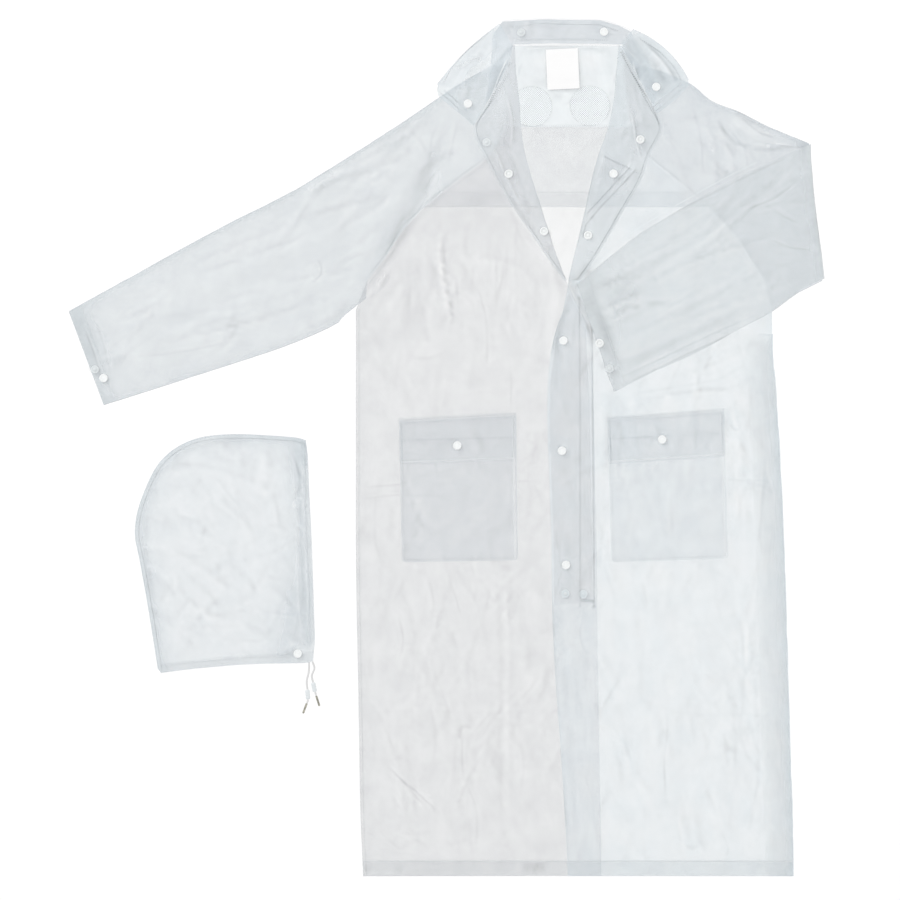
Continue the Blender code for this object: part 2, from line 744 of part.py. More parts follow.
def lying_along(start, direction, height):
    """Places a body turned round Z so that it lies on the floor from a start along a direction."""
    along = Vector((*direction, 0)).normalized()
    turn = along.to_track_quat("Z", "Y").to_matrix().to_4x4()
    return Matrix.Translation(Vector((start[0], start[1], height)) * MM) @ turn


def drawcord_end(side):
    route = CORD_ROUTES[side]
    cord_rest = CORD_DIAMETER / 2 + 0.15
    cord_solid(f"drawcord_{side}", [(x, y, cord_rest) for x, y in route])
    run = Vector(route[-1]) - Vector(route[-2])
    run.normalize()
    lock_start = Vector(route[-1]) + run * SEAM_GAP
    lock = LOCK_DIAMETER / 2
    lock_profile = (
        (0.72 * lock, 0),
        (lock, 0.16 * LOCK_LENGTH),
        (lock, 0.84 * LOCK_LENGTH),
        (0.72 * lock, LOCK_LENGTH),
    )
    turned_solid(f"cord_lock_{side}", lock_profile, 12, SNAP, lying_along(lock_start, run, lock + 0.1))
    bend = Vector(CORD_ENDS[side]).normalized()
    tip_start = lock_start + run * (LOCK_LENGTH + SEAM_GAP + 0.4)
    tip, thread = TIP_DIAMETER / 2, CORD_DIAMETER / 2
    tip_profile = (
        (thread, 0),
        (thread, 6),
        (tip, 6.6),
        (tip, TIP_LENGTH + 4),
        (0.7 * tip, TIP_LENGTH + 6),
    )
    turned_solid(f"cord_tip_{side}", tip_profile, 10, TIP, lying_along(tip_start, bend, tip + 0.1))


def clear_scene():
    for obj in list(bpy.data.objects):
        bpy.data.objects.remove(obj, do_unlink=True)


def main():
    clear_scene()
    edges = turned_edges()
    stack = Stack(ply_table(), edges)
    for name, (plies, finish) in PIECES.items():
        cloth_solid(name, stack, plies, edges.get(name, ()), finish)
    for name, (x, y) in SNAPS.items():
        snap_solid(name, stack, x, y)
    for side in CORD_ROUTES:
        drawcord_end(side)


main()
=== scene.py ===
"""Looks of a clear film raincoat, laid flat and half open, with its hood taken off beside it.

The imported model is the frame. Tables are in millimetres in its axes: X to the viewer's right, Y towards
the collar, Z up. Wearer's left and right are used, so the right front lies on the viewer's left. Each ply
of film is a flat outline on one shared plan of triangles, and the plies are stacked as they lie.
"""

import math
from functools import cache
from typing import NamedTuple

import bmesh
import bpy
import numpy as np
from bpy.props import FloatProperty, FloatVectorProperty, PointerProperty
from mathutils import Matrix, Vector
from mathutils.bvhtree import BVHTree
from mathutils.geometry import delaunay_2d_cdt
from mathutils.kdtree import KDTree


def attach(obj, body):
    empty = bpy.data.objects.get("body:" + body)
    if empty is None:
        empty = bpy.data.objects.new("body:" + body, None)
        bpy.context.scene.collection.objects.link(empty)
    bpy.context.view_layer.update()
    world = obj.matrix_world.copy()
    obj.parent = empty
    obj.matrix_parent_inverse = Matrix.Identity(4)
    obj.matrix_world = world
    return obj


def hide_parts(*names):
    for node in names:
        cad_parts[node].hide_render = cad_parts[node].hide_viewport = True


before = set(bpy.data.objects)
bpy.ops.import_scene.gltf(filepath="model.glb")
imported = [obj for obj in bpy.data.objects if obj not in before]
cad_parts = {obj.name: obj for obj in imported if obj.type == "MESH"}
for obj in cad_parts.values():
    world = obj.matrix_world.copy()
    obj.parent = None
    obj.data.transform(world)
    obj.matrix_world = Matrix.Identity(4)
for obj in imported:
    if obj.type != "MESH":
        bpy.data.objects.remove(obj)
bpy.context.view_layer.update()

bl_info = {
    "name": "Clear Raincoat Looks",
    "version": (1, 0, 0),
    "blender": (4, 5, 0),
    "location": "3D View > Sidebar > Raincoat",
    "description": "Dresses the raincoat's solids in creased clear film, net, snaps, sewing and cord",
    "category": "Object",
}

MM = 0.001

# ---------------------------------------------------------------- sizes shared with the solids, millimetres
PLY_PITCH = 1.35  # height that a ply of film takes up in the stack
TURNED_PITCH = 0.5  # height that a turned hem takes up
FILM = 0.3  # thickness of the film as modelled
FILM_REST = 0.6  # height of the film's middle in its ply's space
SETTLE = 20.0  # how far past an edge the ply above comes down
PLAN_STEP = 6.5  # spacing of the plan's free corners
PLAN_CLEAR = 0.5  # a free corner keeps this share of the spacing from every line
PLAN_BOX = ((-570.0, -645.0), (570.0, 648.0))  # the free corners fill it
PLAN_SHAKE = 0.12  # a free corner strays by up to this share of the spacing
PLAN_SEED = 5
PLAN_END = 700  # triangles past it belong to the drawing's outer hull
LINE_STEP = 8.0  # spacing of the points along a curved line
CURVE_PARTS = 12  # steps of a curve between two of its points, before they are spaced evenly
SEWN_STEP = 7  # spacing of the points along wrinkles and sewn lines
CREASE_STEP = 12  # and along creases
SAME_POINT = 0.02  # points this close are one
BRIDGING = ("fall.leaves", "forearm.upper")  # stiff plies that bridge the steps under them
PASSED_ON = 0.4  # how much of a ply's wrinkles the plies above it repeat
BRIDGE_STEPS = 60

NECK_SEAM = 602.0
YOKE_EDGE = 480.0
CAPE_HEM = 361.0
CAPE_HEM_DEPTH = 20.0
CROSSING = 250.0
ARMPIT = 206.0
HEM = -642.0
HEM_DEPTH = 22.0
CUFF_DEPTH = 19.0
CLIP_MARGIN = 60  # how far the area that clips a cuff's turning reaches past it
CLIP_SIDE = 640  # and the area that clips a hem, from the middle
FAR = 2000  # past everything

VENT_DIAMETER = 57.0
RIM_DIAMETER = 60.0  # the sewn ring round a vent
VENTS = {"vent_right": (128, 511), "vent_left": (215, 512)}
LABEL_WIDTH = 48.0
LABEL_HEIGHT = 60.0
LABEL_CENTER = (174, 567)
LABEL_TILT = 2.7  # degrees
CORD_DIAMETER = 3.0
LOCK_DIAMETER = 7.0
LOCK_LENGTH = 14.0
TIP_DIAMETER = 4.2

# Body above the crossing of the fronts: where each line crosses a height.
UPPER_COLUMNS = (
    "height", "raglan_right", "lapel_right", "roll_right", "roll_left", "lapel_left", "raglan_left",
)
UPPER = (
    (NECK_SEAM, 97, 101, 101, 259, 259, 263),
    (560, 95, 87, 103, 255, 283, 267),
    (520, 92, 64, 108, 251, 303, 270),
    (480, 87, 41, 111, 243, 323, 277),
    (440, 67, 55, 117, 229, 305, 298),
    (400, 16, 76, 128, 218, 291, 346),
    (360, -33, 99, 141, 209, 268, 392),
    (320, -69, 127, 154, 200, 245, 432),
    (280, -95, 154, 167, 190, 221, 458),
    (CROSSING, -119, 176, 179, 183, 200, 478),
)
LOWER_COLUMNS = ("height", "side_right", "over_edge", "under_edge", "side_left")
LOWER = (
    (ARMPIT, -136, 175, 200, 488),
    (176, -136, 164, 215, 488),
    (140, -136, 156, 217, 488),
    (100, -136, 152, 219, 492),
    (40, -136, 151, 221, 496),
    (-50, -136, 154, 223, 501),
    (-140, -136, 157, 225, 505),
    (-230, -135, 158, 226, 508),
    (-330, -133, 162, 227, 511),
    (-440, -131, 170, 229, 514),
    (-550, -129, 177, 231, 518),
    (HEM, -125, 182, 232, 519),
)

# Sleeves. Columns of the tables along an axis: distance from its start, offset from it.
SLEEVE_RIGHT_AXIS = ((90, 520), (-540, 132))
SLEEVE_RIGHT_TOP = ((-12, 55), (55, 57), (153, 53), (305, 51), (380, 54), (457, 61), (608, 69), (724, 74))
SLEEVE_RIGHT_UNDER = ((753, -71), (702, -84), (588, -112), (478, -138), (398, -150), (377, -146))
ARMPIT_RIGHT = (-121, 225)
ARMPIT_LEFT = (488, ARMPIT)
SHOULDER_LEFT = ((290, 571), (320, 563), (365, 544), (398, 518), (440, 502), (485, 479), (543, 455))
ARM_FOLD = ((545, 454), (545, 432), (548, 395), (553, 350), (560, 296), (565, 253))
UNDERARM_LEFT = ((563, 251), (527, 233))
FOREARM_AXIS = ((555, 354), (223.5, 163.5))
FOREARM_ABOVE = ((41, 99), (108, 103), (212, 103), (256, 101), (304, 94), (342, 87))
FOREARM_BELOW = ((321, -87), (255, -93), (187, -94), (132, -96), (84, -89))
CUFF_LEFT = ((196, 244), (251, 83))

# Collar fall. Columns: x and y at the stand, x and y at the free edge.
LEAF_RIGHT = (
    (41, 482, 38, 484), (61, 517, 13, 506), (84, 556, -10, 524), (98, 597, -14, 535), (80, 634, -13, 544),
)
FALL_BACK = (
    LEAF_RIGHT[-1], (87, 641, 40, 537), (140, 644, 110, 556), (230, 642, 250, 558),
    (260, 633.5, 312, 545), (279, 626, 362, 551),
)
LEAF_LEFT = (FALL_BACK[-1], (262, 600, 362, 542), (283.5, 561, 338, 517), (312, 504, 315, 500))
TURN_BOWS = (-5.5, 10.5)  # how far each turned edge of the fall bulges past its chord
STAND_OUTER = ((57, 514), (62, 536), (67, 581), (69, 618), (84, 638), (140, 641.5), (230, 640),
               (258, 632.5), (276, 623.5), (299, 586), (312, 559), (315, 529), (310, 513))
STAND_INNER = ((299, 532), (284, 562), (262.5, 602.6), (237, 604), (158, 605), (101, 603),
               (96, 590), (84, 557), (63, 522))

FLY_LOWER = ((183, 232), (178, 212), (167, 176), (155, 101), (154, 40), (157, -50), (160, -140),
             (161, -236), (219, -236), (217, -50), (214, 71), (209, 176), (194, 212))
FLY_UPPER = ((239, 443), (279, 416), (231, 364), (209, 338), (206, 324), (217, 384))

POCKETS = {
    "pocket_right": ((-71, 40), (104, 48), (107, -169), (-67, -172)),
    "pocket_left": ((241, 42), (415, 54), (422, -166), (247, -172)),
    "flap_right": ((-72, 44), (105, 53), (105, -20), (-71, -26)),
    "flap_left": ((240, 46), (416, 59), (418, -14), (242, -25)),
}
POCKET_CORNER = 7.0  # radius of the lower corners
SIDE_TURN = 42.0
SIDE_TURN_TOP = 170.0

HOOD_BACK = ((-211, 11), (-235, 16), (-325, 20), (-385, 10), (-430, -22), (-458, -79),
             (-467, -127), (-460, -169), (-448, -236), (-437, -304), (-433, -331))
HOOD_NECK = ((-428, -338), (-370, -331), (-295, -325), (-212, -323), (-200, -320))
HOOD_FACE = ((-197, -289), (-199, -229), (-202, -139), (-205, -79), (-208, -11))
BAND_EDGE = ((-199, -305), (-220, -307), (-295, -311), (-370, -317), (-431, -325))
CASING_EDGE = ((-209, -303), (-208, -229), (-212, -139), (-214, -79), (-218, 10))

# Snaps. Columns: place, kind, the ply it is set through.
SNAPS = {
    "snap_front_1": ((175, 160), "cap", "front_left.body"),
    "snap_front_2": ((173, -5), "cap", "front_left.body"),
    "snap_front_3": ((179, -176), "cap", "front_left.body"),
    "snap_lapel_right_1": ((93, 410), "socket", "front_right.lapel"),
    "snap_lapel_right_2": ((146, 324), "socket", "front_right.lapel"),
    "snap_lapel_left_1": ((250, 410), "cap", "fly_upper"),
    "snap_lapel_left_2": ((212, 318), "socket", "front_left.lapel"),
    "snap_neck_right": ((60, 457), "stud", "front_right.lapel"),
    "snap_neck_left": ((290, 461), "socket", "front_left.lapel"),
    "snap_leaf_right": ((32, 515), "cap", "fall.leaves"),
    "snap_leaf_left": ((314, 540), "cap", "fall.leaves"),
    "snap_stand_right": ((112, 622), "stud", "stand"),
    "snap_stand_left": ((236, 623), "cap", "stand"),
    "snap_cuff_right_1": ((-514, 104), "cap", "sleeve_right.upper"),
    "snap_cuff_right_2": ((-527, 117), "stud", "sleeve_right.upper"),
    "snap_cuff_left_1": ((229, 156), "socket", "forearm.upper"),
    "snap_cuff_left_2": ((244, 118), "stud", "forearm.upper"),
    "snap_flap_right": ((16, 3), "cap", "flap_right"),
    "snap_flap_left": ((323, 12), "cap", "flap_left"),
    "snap_hood": ((-223, -309), "cap", "hood.band"),
}
FLY_SNAPS = ((178, -219), (205, -220))  # two studs that show through the front, on the fly's end
SNAP_CALM = 13.0  # round a snap the film lies evener, within about this distance
CALMEST = 0.25  # share of the creases' lift that is left at a snap
CALM_INNER = 0.45  # share of the distance within which no more is left

# Drawcord: each free end's route from the casing to its lock, and the direction of its tip past the lock.
CORD_ROUTES = {
    "a": ((-206, -322.2), (-206.5, -336), (-209.5, -350), (-208.5, -363)),
    "b": ((-201, -320.8), (-198, -331), (-202, -342), (-200, -352)),
}
CORD_ENDS = {"a": (-0.35, -0.94), "b": (0.3, -0.95)}
CORD_REST = CORD_DIAMETER / 2 + 0.15  # height of the cord's middle
LOCK_START = 0.3  # past the end of the cord's route
TIP_START = 0.7  # past the end of the lock
CORD_PAST_LOCK = 6.0  # bare cord between the lock and the metal tip


# ---------------------------------------------------------------- lines and outlines
def curved(points, step=LINE_STEP):
    """Evenly spaced points on a smooth curve through a line's points. Its ends stay."""
    line = np.array(points, float)
    padded = np.vstack((2 * line[0] - line[1], line, 2 * line[-1] - line[-2]))
    shares = np.linspace(0, 1, CURVE_PARTS, endpoint=False)[:, None]
    fine = []
    for i in range(len(line) - 1):
        p0, p1, p2, p3 = padded[i : i + 4]
        bend = 2 * p0 - 5 * p1 + 4 * p2 - p3
        twist = 3 * (p1 - p2) - p0 + p3
        fine.append(0.5 * (2 * p1 + (p2 - p0) * shares + bend * shares**2 + twist * shares**3))
    fine = np.vstack((*fine, line[-1:]))
    run = np.concatenate(([0], np.cumsum(np.linalg.norm(np.diff(fine, axis=0), axis=1))))
    marks = np.linspace(0, run[-1], max(2, round(run[-1] / step)) + 1)
    return [tuple(point) for point in np.column_stack([np.interp(marks, run, axis) for axis in fine.T])]


def straight(points, step=LINE_STEP):
    """Points along straight runs, with every corner kept."""
    line = []
    for start, end in zip(points, points[1:]):
        steps = max(1, round(math.dist(start, end) / step))
        line += [tuple(np.add(start, np.subtract(end, start) * (i / steps))) for i in range(steps)]
    return line + [tuple(points[-1])]


def angular(points):
    """An outline with straight sides."""
    points = list(points)
    return straight(points + points[:1])[:-1]


def column(table, columns, name, top, bottom):
    """The smooth line that one column of a section table draws between two heights."""
    heights = np.array([row[0] for row in table])
    values = np.array([row[columns.index(name)] for row in table], float)
    slopes = np.gradient(values, heights)
    levels = np.arange(math.floor(top / LINE_STEP), bottom / LINE_STEP, -1) * LINE_STEP
    line = []
    for level in [top] + [h for h in levels if bottom < h < top] + [bottom]:
        i = int(np.clip(np.searchsorted(-heights, -level) - 1, 0, len(heights) - 2))
        span = heights[i + 1] - heights[i]
        t = (level - heights[i]) / span
        start = values[i] * (1 + 2 * t) * (1 - t) ** 2 + slopes[i] * span * t * (1 - t) ** 2
        end = values[i + 1] * (3 - 2 * t) * t**2 + slopes[i + 1] * span * t**2 * (t - 1)
        line.append((float(start + end), float(level)))
    return line


def upper(name, top=NECK_SEAM, bottom=CROSSING):
    return column(UPPER, UPPER_COLUMNS, name, top, bottom)


def lower(name, top=ARMPIT, bottom=HEM):
    return column(LOWER, LOWER_COLUMNS, name, top, bottom)


def along_axis(axis, rows):
    """Points given as (distance along an axis, offset to its upper side)."""
    start, end = Vector(axis[0]), Vector(axis[1])
    direction = (end - start).normalized()
    side = Vector((-direction.y, direction.x))
    if side.y < 0:
        side = -side
    return [tuple(start + direction * along + side * offset) for along, offset in rows]


def moved(line, distance):
    """A line moved sideways, to its left where distance is positive."""
    points = np.array(line, float)
    runs = np.diff(points, axis=0)
    runs /= np.linalg.norm(runs, axis=1)[:, None]
    normals = np.column_stack((-runs[:, 1], runs[:, 0]))
    joined = np.vstack((normals[:1], normals[:-1] + normals[1:], normals[-1:]))
    joined /= np.linalg.norm(joined, axis=1)[:, None]
    return [tuple(point) for point in points + joined * distance]


def ring(center, diameter, sides):
    """Points round a circle, the first not repeated."""
    turns = [2 * math.pi * side / sides for side in range(sides)]
    return [(center[0] + diameter / 2 * math.cos(t), center[1] + diameter / 2 * math.sin(t)) for t in turns]


def between(left, right):
    """An outline between a line on the viewer's left and one on the right, both from the top down."""
    return list(left) + list(right)[::-1]


def upper_back(bottom):
    return between(upper("raglan_right", bottom=bottom), upper("raglan_left", bottom=bottom))


def label_outline():
    tilt = Matrix.Rotation(math.radians(LABEL_TILT), 2)
    corners = [(side * LABEL_WIDTH / 2, LABEL_HEIGHT / 2) for side in (1, -1)]
    corners += [(-x, -y) for x, y in corners]
    return angular(tuple(tilt @ Vector(corner) + Vector(LABEL_CENTER)) for corner in corners)


def sleeve_right_lines():
    shoulder = curved(along_axis(SLEEVE_RIGHT_AXIS, SLEEVE_RIGHT_TOP))
    underarm = curved(along_axis(SLEEVE_RIGHT_AXIS, SLEEVE_RIGHT_UNDER) + [ARMPIT_RIGHT])
    return shoulder, underarm


def sleeve_right_outline():
    shoulder, underarm = sleeve_right_lines()
    return shoulder + underarm + upper("raglan_right")[::-1]


def arm_fold():
    return curved(ARM_FOLD)


def arm_fold_inner():
    return moved(arm_fold(), -PLY_PITCH)


def sleeve_left_outline(fold):
    return [*curved(SHOULDER_LEFT), *fold, *UNDERARM_LEFT, ARMPIT_LEFT, *upper("raglan_left")[::-1]]


def forearm_lines():
    return curved(along_axis(FOREARM_AXIS, FOREARM_ABOVE)), curved(along_axis(FOREARM_AXIS, FOREARM_BELOW))


def forearm_outline(fold):
    above, below = forearm_lines()
    return [*above, *straight(CUFF_LEFT), *below, *fold[::-1]]


def turned_edge(row, bow):
    """The edge where the fall turns over, from the stand to the free edge."""
    inner, free = np.array(row[:2], float), np.array(row[2:], float)
    chord = free - inner
    side = np.array((-chord[1], chord[0])) / np.linalg.norm(chord)
    shares = np.linspace(0, 1, max(4, round(np.linalg.norm(chord) / LINE_STEP)))
    return [tuple(inner + chord * s + side * bow * 4 * s * (1 - s)) for s in shares]


def fall_outline(rows, first_bow=None, last_bow=None):
    """The part of the fall between its sections; a bow marks an end that is a turned edge."""
    first = turned_edge(rows[0], first_bow)[1:-1][::-1] if first_bow else []
    last = turned_edge(rows[-1], last_bow)[1:-1] if last_bow else []
    return curved([row[:2] for row in rows]) + last + curved([row[2:] for row in rows])[::-1] + first


def pocket_outline(name):
    """A pocket's or a flap's four corners, the lower two rounded."""
    points = [Vector(corner) for corner in POCKETS[name]]
    line = [points[0], points[1]]
    for before, corner, after in ((points[1], points[2], points[3]), (points[2], points[3], points[0])):
        start = corner + (before - corner).normalized() * POCKET_CORNER
        end = corner + (after - corner).normalized() * POCKET_CORNER
        line += [start.lerp(corner, t).lerp(corner.lerp(end, t), t) for t in (0, 0.35, 0.65, 1)]
    return angular(map(tuple, line))


def hood_lines():
    return curved(HOOD_BACK), curved(HOOD_NECK), curved(HOOD_FACE)


# ---------------------------------------------------------------- plies
class Ply(NamedTuple):
    outlines: list
    rests_on: tuple = ()
    pitch: float = PLY_PITCH
    clip: list = None  # an area that keeps only a part of the outline


def laid(outline, *rests_on):
    return Ply([outline], rests_on)


def turned_in(outline, clip, *rests_on):
    """The turned ply of a hem: the part of an outline within an area."""
    return Ply([outline], rests_on, TURNED_PITCH, clip)


def below_height(height):
    low = -CLIP_SIDE - 20
    return straight([(-CLIP_SIDE, height), (CLIP_SIDE, height)]) + [(CLIP_SIDE, low), (-CLIP_SIDE, low)]


def up_sleeve(axis):
    """The direction from the end of a sleeve's axis to its start."""
    return (Vector(axis[0]) - Vector(axis[1])).normalized()


def past_cuff(axis, ends):
    """The area within a cuff's depth of a sleeve's end."""
    start, end = (Vector(point) for point in ends)
    inward = up_sleeve(axis)
    run = (end - start).normalized() * CLIP_MARGIN
    line = straight([tuple(start - run + inward * CUFF_DEPTH), tuple(end + run + inward * CUFF_DEPTH)])
    return line + [tuple(end + run - inward * CLIP_MARGIN), tuple(start - run - inward * CLIP_MARGIN)]


def cuff_inner(axis, ends):
    """The inner edge of a cuff's turning."""
    return [tuple(Vector(end) + up_sleeve(axis) * CUFF_DEPTH) for end in ends]


def cuff_right_ends():
    shoulder, underarm = sleeve_right_lines()
    return shoulder[-1], underarm[0]


def ply_table():
    """Every ply from the surface up: its outline and what it lies on. Names after "air" lift it."""
    right_side = upper("raglan_right") + lower("side_right")
    left_side = upper("raglan_left") + lower("side_left")
    turn = lower("side_left", SIDE_TURN_TOP)
    back, neck, face = hood_lines()
    hood = back + neck + face
    hem = below_height(HEM + HEM_DEPTH)
    cuff_right = past_cuff(SLEEVE_RIGHT_AXIS, cuff_right_ends())
    cuff_left = past_cuff(FOREARM_AXIS, CUFF_LEFT)
    cape = upper_back(CAPE_HEM)
    whole_back = between(right_side, left_side)
    sleeve_right = sleeve_right_outline()
    forearm_inner = forearm_outline(arm_fold_inner())
    front_right = between(right_side, upper("roll_right") + lower("under_edge"))
    front_left = between(upper("roll_left") + lower("over_edge"), left_side)
    leaf_right = fall_outline(LEAF_RIGHT, last_bow=TURN_BOWS[0])
    leaf_left = fall_outline(LEAF_LEFT, first_bow=TURN_BOWS[1])
    lapel_right = between(upper("lapel_right"), upper("roll_right"))
    lapel_left = between(upper("roll_left"), upper("lapel_left"))
    under_collar = ("front_right.body", "front_left.body", "sleeve_right.upper", "sleeve_left.upper")
    return {
        "fall.back": laid(fall_outline(FALL_BACK, *TURN_BOWS)),
        "cape": laid(cape, "fall.back"),
        "cape.hem": turned_in(cape, below_height(CAPE_HEM + CAPE_HEM_DEPTH), "cape"),
        "sleeve_right.lower": laid(sleeve_right, "cape"),
        "sleeve_right.cuff_lower": turned_in(sleeve_right, cuff_right, "sleeve_right.lower"),
        "sleeve_left.lower": laid(sleeve_left_outline(arm_fold()), "cape"),
        "back": laid(whole_back, "cape.hem"),
        "back.hem": turned_in(whole_back, hem, "back"),
        "yoke": laid(upper_back(YOKE_EDGE), "back"),
        "label": laid(label_outline(), "yoke"),
        "sleeve_right.cuff_upper": turned_in(sleeve_right, cuff_right, "sleeve_right.cuff_lower", "air"),
        "sleeve_right.upper": laid(sleeve_right, "sleeve_right.cuff_upper", "air"),
        "sleeve_left.upper": laid(sleeve_left_outline(arm_fold_inner()), "sleeve_left.lower", "air"),
        "front_right.hem": turned_in(front_right, hem, "back.hem", "air"),
        "front_right.body": laid(front_right, "yoke", "front_right.hem", "air"),
        "fly_lower": laid(angular(FLY_LOWER), "front_right.body"),
        "front_left.turn": laid(between(moved(turn, -SIDE_TURN), turn), "front_right.body"),
        "front_left.hem": turned_in(front_left, hem, "fly_lower", "front_left.turn", "air_left"),
        "front_left.body": laid(front_left, "front_left.hem", "air_left"),
        "pocket_right": laid(pocket_outline("pocket_right"), "front_right.body"),
        "pocket_left": laid(pocket_outline("pocket_left"), "front_left.body"),
        "flap_right": laid(pocket_outline("flap_right"), "pocket_right"),
        "flap_left": laid(pocket_outline("flap_left"), "pocket_left"),
        "front_right.lapel": laid(lapel_right, "front_right.body", "sleeve_right.upper"),
        "front_left.lapel": laid(lapel_left, "front_left.body", "sleeve_left.upper"),
        "fly_upper": laid(angular(FLY_UPPER), "front_left.lapel"),
        "forearm.lower": laid(forearm_inner, "front_left.lapel", "sleeve_left.upper"),
        "forearm.cuff_lower": turned_in(forearm_inner, cuff_left, "forearm.lower"),
        "forearm.cuff_upper": turned_in(forearm_inner, cuff_left, "forearm.cuff_lower", "air_forearm"),
        "forearm.upper": laid(forearm_outline(arm_fold()), "forearm.cuff_upper", "air_forearm"),
        "stand": laid(angular(STAND_OUTER + STAND_INNER), *under_collar),
        "fall.leaves": Ply([leaf_right, leaf_left], ("stand",)),
        "hood.under": laid(hood),
        "hood.over": laid(hood, "hood.under", "air"),
        "hood.band": laid(neck + curved(BAND_EDGE), "hood.over"),
        "hood.casing": laid(face + back[:1] + curved(CASING_EDGE)[::-1], "hood.over"),
    }


def fold_table():
    """Each folded edge: the two plies that it joins, and its line."""
    shoulder, underarm = sleeve_right_lines()
    above, below = forearm_lines()
    hem, cape_hem = ([(-FAR, height), (FAR, height)] for height in (HEM, CAPE_HEM))
    cuff_right, cuff_left = cuff_right_ends(), CUFF_LEFT
    return {
        "back_cape": (("cape", "cape.hem", cape_hem),),
        "back_panel": (("back", "back.hem", hem),),
        "sleeve_right": (
            ("sleeve_right.lower", "sleeve_right.upper", shoulder),
            ("sleeve_right.lower", "sleeve_right.upper", underarm),
            ("sleeve_right.lower", "sleeve_right.cuff_lower", cuff_right),
            ("sleeve_right.cuff_upper", "sleeve_right.upper", cuff_right),
        ),
        "sleeve_left": (
            ("sleeve_left.lower", "sleeve_left.upper", curved(SHOULDER_LEFT)),
            ("sleeve_left.lower", "sleeve_left.upper", [*UNDERARM_LEFT, ARMPIT_LEFT]),
            ("forearm.lower", "forearm.upper", above),
            ("forearm.lower", "forearm.upper", below),
            ("sleeve_left.lower", "forearm.upper", arm_fold()),
            ("sleeve_left.upper", "forearm.lower", arm_fold_inner()),
            ("forearm.lower", "forearm.cuff_lower", cuff_left),
            ("forearm.cuff_upper", "forearm.upper", cuff_left),
        ),
        "front_right": (
            ("front_right.body", "front_right.lapel", upper("roll_right")),
            ("front_right.hem", "front_right.body", hem),
        ),
        "front_left": (
            ("front_left.body", "front_left.lapel", upper("roll_left")),
            ("front_left.turn", "front_left.body", lower("side_left", SIDE_TURN_TOP)),
            ("front_left.hem", "front_left.body", hem),
        ),
        "collar_fall": (
            ("fall.back", "fall.leaves", turned_edge(LEAF_RIGHT[-1], TURN_BOWS[0])),
            ("fall.back", "fall.leaves", turned_edge(LEAF_LEFT[0], TURN_BOWS[1])),
        ),
    }


